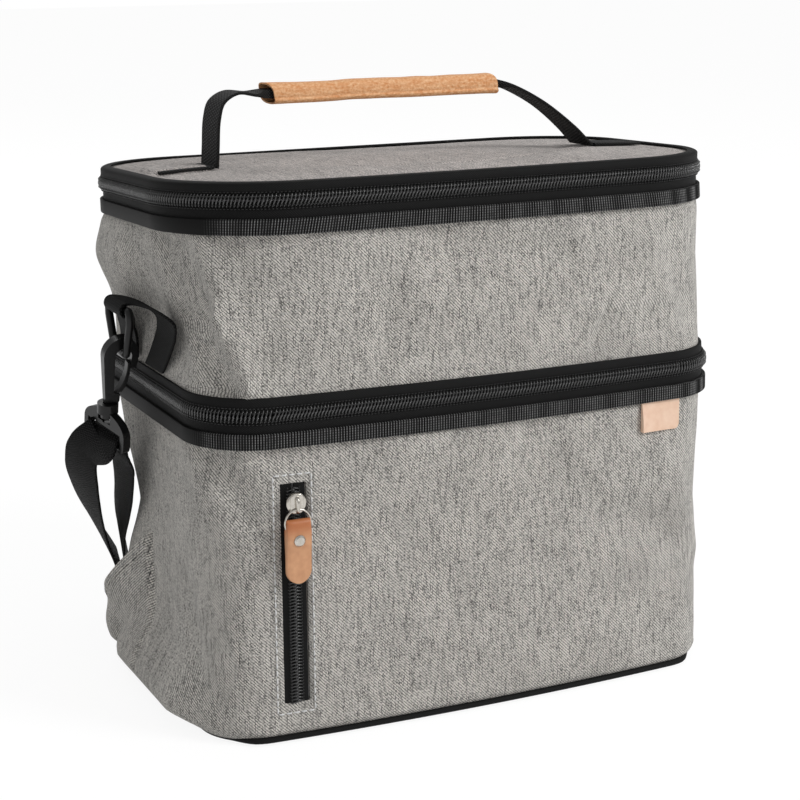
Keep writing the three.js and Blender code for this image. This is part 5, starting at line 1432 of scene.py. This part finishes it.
sidePocket = {
    "frontLow": -6, "frontHigh": 12, "rear": 64, "top": 77, "drop": 52, "flare": 9.4, "foot": 8, "sheet": 1.4,
    "flareSkew": 1.3, "flareRound": 0.6, "flareRise": 1.2, "tuck": -0.9, "tuckSide": 0.06, "tuckFoot": 0.12,
    "swell": 1.2, "swellAt": 21, "swellHeight": 8, "swellFrom": 0.25, "swellFade": 0.4,
    "wave": 0.35, "waveSize": 16, "waveSeed": 31, "stitches": 26, "stitchAt": 0.945, "stitchEnds": 0.07,
    "stitchAlong": (-0.36, -0.24, 0, 0.24, 0.36), "stitchOut": (-0.35, 0.1, 0.2, 0.1, -0.35),
    "stitchRadii": (0.16, 0.24, 0.27, 0.24, 0.16),
    "hem": (  # share of the height and lift of the hem's section, outside and then back inside
        (0.90, -0.2), (0.905, 0.5), (0.995, 0.5), (1.004, 0.2), (1.004, -1.6), (0.995, -1.9), (0.97, -1.9),
        (0.97, -0.9),
    ),
}


# A point off the right side or its rear corner over the wall point at y
def offSide(y, z, out):
    width, depth, _, corner = planAt(z)
    slack = slackAt(z)
    radius = corner + bag["rearSlack"] * slack
    angle = np.arcsin(np.clip((y - depth + radius) / radius, 0, 1))
    x = width - bag["sideDip"] * slack - radius * (1 - np.cos(angle))
    return np.stack([x + out * np.cos(angle), y + out * np.sin(angle), z], -1)


# Slanted side pocket: t runs from the front seam to the rear one, v from the foot to the slanted hem.
# It stands off the folded wall by a sine of t times a power of v, and sinks into it at its seams.
# The hem is a rolled band along the top, with a row of stitches under it
def makeSidePocket(word, side):
    s = sidePocket
    stations = np.linspace(rearEnd, frontStart, 400)
    wallY = wallPoint(stations, np.full(400, lowerLevels[1]))[:, 1]
    run = np.abs(fromFront(stations, lowerLevels[1]))

    def face(t, v, lift):
        z = lerp(s["foot"], s["top"] - s["drop"] * t, v)
        y = lerp(lerp(s["frontLow"], s["frontHigh"], z / s["top"]), s["rear"], t)
        along = side * np.interp(-y, -wallY, run)
        sunk = foldDepth(along, z, lowerFolds) * freeAt(z, lowerLevels)
        tucked = ease(np.minimum(t, 1 - t) / s["tuckSide"]) * ease(v / s["tuckFoot"])
        stand = s["flare"] * np.sin(np.pi * t ** s["flareSkew"]) ** s["flareRound"] * v ** s["flareRise"]
        bell = np.exp(-((z - s["swellAt"]) / s["swellHeight"]) ** 2)
        stand = stand + s["swell"] * bell * ease((t - s["swellFrom"]) / s["swellFade"]) * tucked
        wave = s["wave"] * lattice(y + 100, z, s["waveSize"], s["waveSeed"]) * np.sin(np.pi * t)
        return offSide(y, z, stand + wave - sunk + lerp(s["tuck"], lift, tucked)) * np.array([side, 1, 1])

    t = np.linspace(0, 1, 64)[:, None]
    v = np.linspace(0, 1, 44)[None]
    grid = np.concatenate([face(t, v, bag["gap"] + s["sheet"]), face(t, v, bag["gap"])[:, ::-1]], 1)
    addGrid(f"{word}_side_pocket", grid, greyCloth, "lower", across=True, capped=True,
            replaces=[f"{word}_pocket"], sharp=60, flat=(64, (1, 2)))
    t = np.linspace(0.02, 0.98, 64)[:, None]
    high = bag["gap"] + s["sheet"]
    leaves = [face(t, np.array([[share]]), high + lift) for share, lift in s["hem"]]
    addGrid(f"{word}_pocket_hem", np.concatenate(leaves, 1), greyCloth, "lower", across=True, capped=True,
            flat=(64, (1, 2)))
    count = s["stitches"]
    t = (np.arange(count)[:, None] + 0.5 + np.array(s["stitchAlong"])[None]) / count
    t = t * (1 - 2 * s["stitchEnds"]) + s["stitchEnds"]
    sunk = np.tile(s["stitchOut"], count)[:, None]
    paths = face(t.reshape(-1, 1), np.array([[s["stitchAt"]]]), high + 0.5 + sunk).reshape(count, 5, 3)
    along = unit(paths[:, -1] - paths[:, 0])
    out = np.tile([side, 0.0, 0], (count, 1))
    addBars(f"{word}_pocket_stitches", paths, np.cross(along, out), out, s["stitchRadii"], greyThread,
            "lower")


makeSidePocket("left", -1)
makeSidePocket("right", 1)


pocketZip = {
    "end": 0.3, "pitch": 1.55, "tapeX": (5.7, 5.7, 3.5, 0.5, 0.5), "tapeOut": (-1.2, -0.5, -0.25, -0.2, -1.2),
    "toothX": (3.3, 2.4, 1.3, 0.35, -0.35), "toothOut": (0.1, 0.75, 0.95, 1.1, 0.9),
    "toothLean": (-0.45, -0.3, -0.05, 0.1, 0.2), "toothRadii": (0.26, 0.3, 0.32, 0.5, 0.42),
}


# Front pocket's zip: two tapes with coil teeth that meet in the middle, those of one side half a pitch up
def makePocketZip():
    p = pocketZip
    low, high = pocket["bottom"] + p["end"], pocket["top"] - p["end"]
    z = np.linspace(low, high, 40)[:, None]
    for word, side in (("left", -1), ("right", 1)):
        x = pocket["x"] + side * np.array(p["tapeX"]) + 0 * z
        grid = np.stack([x, frontY(x, z, np.array(p["tapeOut"])), z + 0 * x], -1)
        addGrid(f"pocket_tape_{word}", grid, twillTape, "lower", across=True, capped=True,
                replaces=[f"pocket_zip_tape_{word}"])
        count = int((high - low - 2) / p["pitch"])
        rows = (low + 1 + (np.arange(count) + (0.5 if side > 0 else 0)) * p["pitch"])[:, None]
        xs = pocket["x"] + np.array(p["toothX"]) * side + 0 * rows
        zs = rows + np.array(p["toothLean"])
        paths = np.stack([xs, frontY(xs, zs, np.array(p["toothOut"])), zs], -1)
        up, out = np.tile([0.0, 0, 1], (count, 1)), np.tile([0.0, -1, 0], (count, 1))
        addBars(f"pocket_teeth_{word}", paths, up, out, p["toothRadii"], coilPlastic, "lower",
                [f"pocket_zip_coil_{word}"])


thread = {  # places along a stitch as shares of its length, how far each is sunk, and shares of its radius
    "along": (-0.5, -0.32, 0, 0.32, 0.5), "sunk": (0.45, 0.1, 0, 0.1, 0.45), "radii": (0.6, 1, 1.1, 1, 0.6),
}


# Threads along a straight line on the front wall, each sinking at its ends
def stitchLine(name, start, end, length, gap, radius, material, out=0.4):
    start, end = np.array(start, float), np.array(end, float)
    total = np.linalg.norm(end - start)
    count = max(1, int(total / (length + gap)))
    centre = (np.arange(count) + 0.5) / count
    run = (end - start) / total
    offsets = np.array(thread["along"]) * length
    xz = start[None, None] + (end - start)[None, None] * centre[:, None, None] + run * offsets[None, :, None]
    lift = out - np.array(thread["sunk"])
    paths = np.stack([xz[..., 0], frontY(xz[..., 0], xz[..., 1], lift[None]), xz[..., 1]], -1)
    side = np.tile([-run[1], 0, run[0]], (count, 1)).astype(float)
    outward = np.tile([0.0, -1, 0], (count, 1))
    addBars(name, paths, side, outward, np.array(thread["radii"]) * radius, material, "lower")


makePocketZip()
stitches = {
    "left": -105.4, "right": -87.4, "bottom": 14.0, "top": 127.0, "length": 2.7, "gap": 0.9, "radius": 0.40,
    "coilX": 2.8, "coilEnd": 1.3, "coilLength": 1.0, "coilGap": 0.55, "coilRadius": 0.27, "coilOut": 0.95,
}
corners = [(stitches["left"], stitches["bottom"]), (stitches["right"], stitches["bottom"]),
           (stitches["right"], stitches["top"]), (stitches["left"], stitches["top"])]
for k, word in enumerate(("bottom", "right", "top", "left")):
    stitchLine(f"pocket_stitch_{word}", corners[k], corners[(k + 1) % 4], stitches["length"], stitches["gap"],
               stitches["radius"], paleThread)
for word, side in (("left", -1), ("right", 1)):
    x = pocket["x"] + side * stitches["coilX"]
    low, high = pocket["bottom"] + stitches["coilEnd"], pocket["top"] - stitches["coilEnd"]
    stitchLine(f"pocket_coil_thread_{word}", (x, low), (x, high), stitches["coilLength"], stitches["coilGap"],
               stitches["coilRadius"], darkThread, stitches["coilOut"])
print("pockets made")


patch = {
    "left": 85.2, "right": 107.6, "bottom": 125.3, "top": 140.2, "round": 2.6, "sheet": 0.6,
    "outerStand": 0.6, "innerStand": 0.35, "lift": 1.9, "liftTo": 1.2, "tilt": 0.8,
}


# Folded patch under the band, left bare: two leaves joined by a round fold at its outer edge
def makeLabel():
    p = patch
    t = np.linspace(0, 1, 30)[:, None]
    v = np.linspace(0, 1, 12)[None]
    x = lerp(p["left"], p["right"], t) + 0 * v
    r = p["round"]
    fromRight = np.clip((x - (p["right"] - r)) / r, 0, 1)
    cut = r * (1 - np.sqrt(1 - fromRight ** 2))
    z = lerp(p["bottom"] + cut - p["tilt"] * t, p["top"], v)
    stand = p["outerStand"] + p["lift"] * (1 - t) ** 2 * ease(p["liftTo"] - v)
    outer = np.stack([x, frontY(x, z, stand + p["sheet"]), z], -1)
    inner = np.stack([x, frontY(x, z, stand * 0 + p["innerStand"]), z], -1)
    grid = np.concatenate([outer, inner[:, ::-1]], 1)
    piece = addGrid("bare_patch", grid, patchLeather, "lower", across=True, capped=True, replaces=["label"],
                    sharp=50)
    soften(piece, 0.15)


makeLabel()


piping = {
    "out": -1.1, "z": 1.75, "halfWidth": 1.5, "halfHeight": 1.45, "tuck": 3.4, "tuckFrom": 114, "tuckFade": 14,
}


def makePiping():  # an oval cord along the base, which slips under the bulging cloth on the two sides
    p = piping
    angle = np.arange(12) * np.pi / 6
    u = outlineStations()[:, None]
    out = p["halfWidth"] * np.cos(angle)[None] + p["out"]
    z = p["z"] + p["halfHeight"] * np.sin(angle)[None] + 0 * u
    x = np.abs(wallPoint(u, 2.0)[..., 0])
    tucked = p["tuck"] * ease((x - p["tuckFrom"]) / p["tuckFade"])
    grid = wallPoint(u, z, tucked - out)
    addGrid("base_cord", grid, twillTape, "lower", around=True, across=True, replaces=["base_piping"],
            sharp=80)


makePiping()


# Binding that closes fabric, foam and lining along a compartment's rim, inside the zip: its section as
# outward offset and height over the rim
rimSection = (
    (-0.1, -1.5), (-0.1, 0.1), (-0.8, 0.5), (-7.6, 0.4), (-8.6, -0.4), (-8.6, -8), (-8.1, -8), (-7.8, -0.9),
    (-2.4, -0.9), (-1.9, -1.5),
)
for word, rim in (("lower", lowerRim), ("upper", upperRim)):
    wallStrip(f"{word}_rim_binding", [(out, rim + up) for out, up in rimSection], twillTape, word)
print("trim made")


plainNodes = {"pocket_pouch": greyCloth, "lid_liner": foilLiner, "lid_insulation": closedCellFoam}
for node, material in plainNodes.items():
    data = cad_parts[node].data
    data.materials.clear()
    data.materials.append(material)


studio = {
    "world": 0.46, "floor": 0.82, "glow": 1.12, "glowShare": 0.8, "size": 12, "drop": 0.0006,
    "lamps": (  # name, place, target, size and power, in metres and watts
        ("keyLight", (1.5, -1.7, 1.5), (0, 0, 0.13), (0.8, 0.8), 33),
        ("fillLight", (-2.2, -0.9, 0.9), (0, 0, 0.13), (1.2, 1.4), 1.5),
        ("backLight", (0.3, 1.8, 1.6), (0, 0, 0.2), (1.4, 0.8), 7),
    ),
}


def addLight(name, place, target, size, power):
    data = bpy.data.lights.new(name, "AREA")
    data.shape = "RECTANGLE"
    data.size, data.size_y = size
    data.energy = power
    lamp = bpy.data.objects.new(name, data)
    bpy.context.scene.collection.objects.link(lamp)
    lamp.location = place
    lamp.rotation_euler = (Vector(target) - Vector(place)).to_track_quat("-Z", "Y").to_euler()


# A pale floor that glows for the camera and for reflections, so that it meets the white background, and
# a world that lights the object at its own level but shows white
def makeStudio():
    bpy.ops.mesh.primitive_plane_add(size=studio["size"], location=(0, 0, -studio["drop"]))
    floor = bpy.context.object
    floor.name = "floor"
    material = bpy.data.materials.new("paleFloor")
    material.use_nodes = True
    tree = material.node_tree
    tree.nodes.clear()
    out = tree.nodes.new("ShaderNodeOutputMaterial")
    diffuse = addNode(tree, "ShaderNodeBsdfDiffuse", {"Color": grey(studio["floor"])}).outputs[0]
    glow = addNode(tree, "ShaderNodeEmission", {"Color": grey(1.0), "Strength": studio["glow"]}).outputs[0]
    rays = tree.nodes.new("ShaderNodeLightPath").outputs
    seen = maths(tree, "MAXIMUM", rays["Is Camera Ray"], rays["Is Glossy Ray"])
    share = maths(tree, "MULTIPLY", seen, studio["glowShare"])
    mixed = addNode(tree, "ShaderNodeMixShader", {0: share, 1: diffuse, 2: glow}).outputs[0]
    tree.links.new(mixed, out.inputs["Surface"])
    floor.data.materials.append(material)
    world = bpy.data.worlds.new("studio")
    bpy.context.scene.world = world
    world.use_nodes = True
    tree = world.node_tree
    rays = tree.nodes.new("ShaderNodeLightPath").outputs
    seen = maths(tree, "MAXIMUM", rays["Is Camera Ray"], rays["Is Transmission Ray"])
    level = addNode(tree, "ShaderNodeMix", {0: seen, 2: studio["world"], 3: 1.0}).outputs[0]
    tree.links.new(level, tree.nodes["Background"].inputs["Strength"])
    tree.nodes["Background"].inputs["Color"].default_value = grey(1.0)
    for lamp in studio["lamps"]:
        addLight(*lamp)
    bpy.context.scene.view_settings.view_transform = "Standard"


makeStudio()
print("studio made")

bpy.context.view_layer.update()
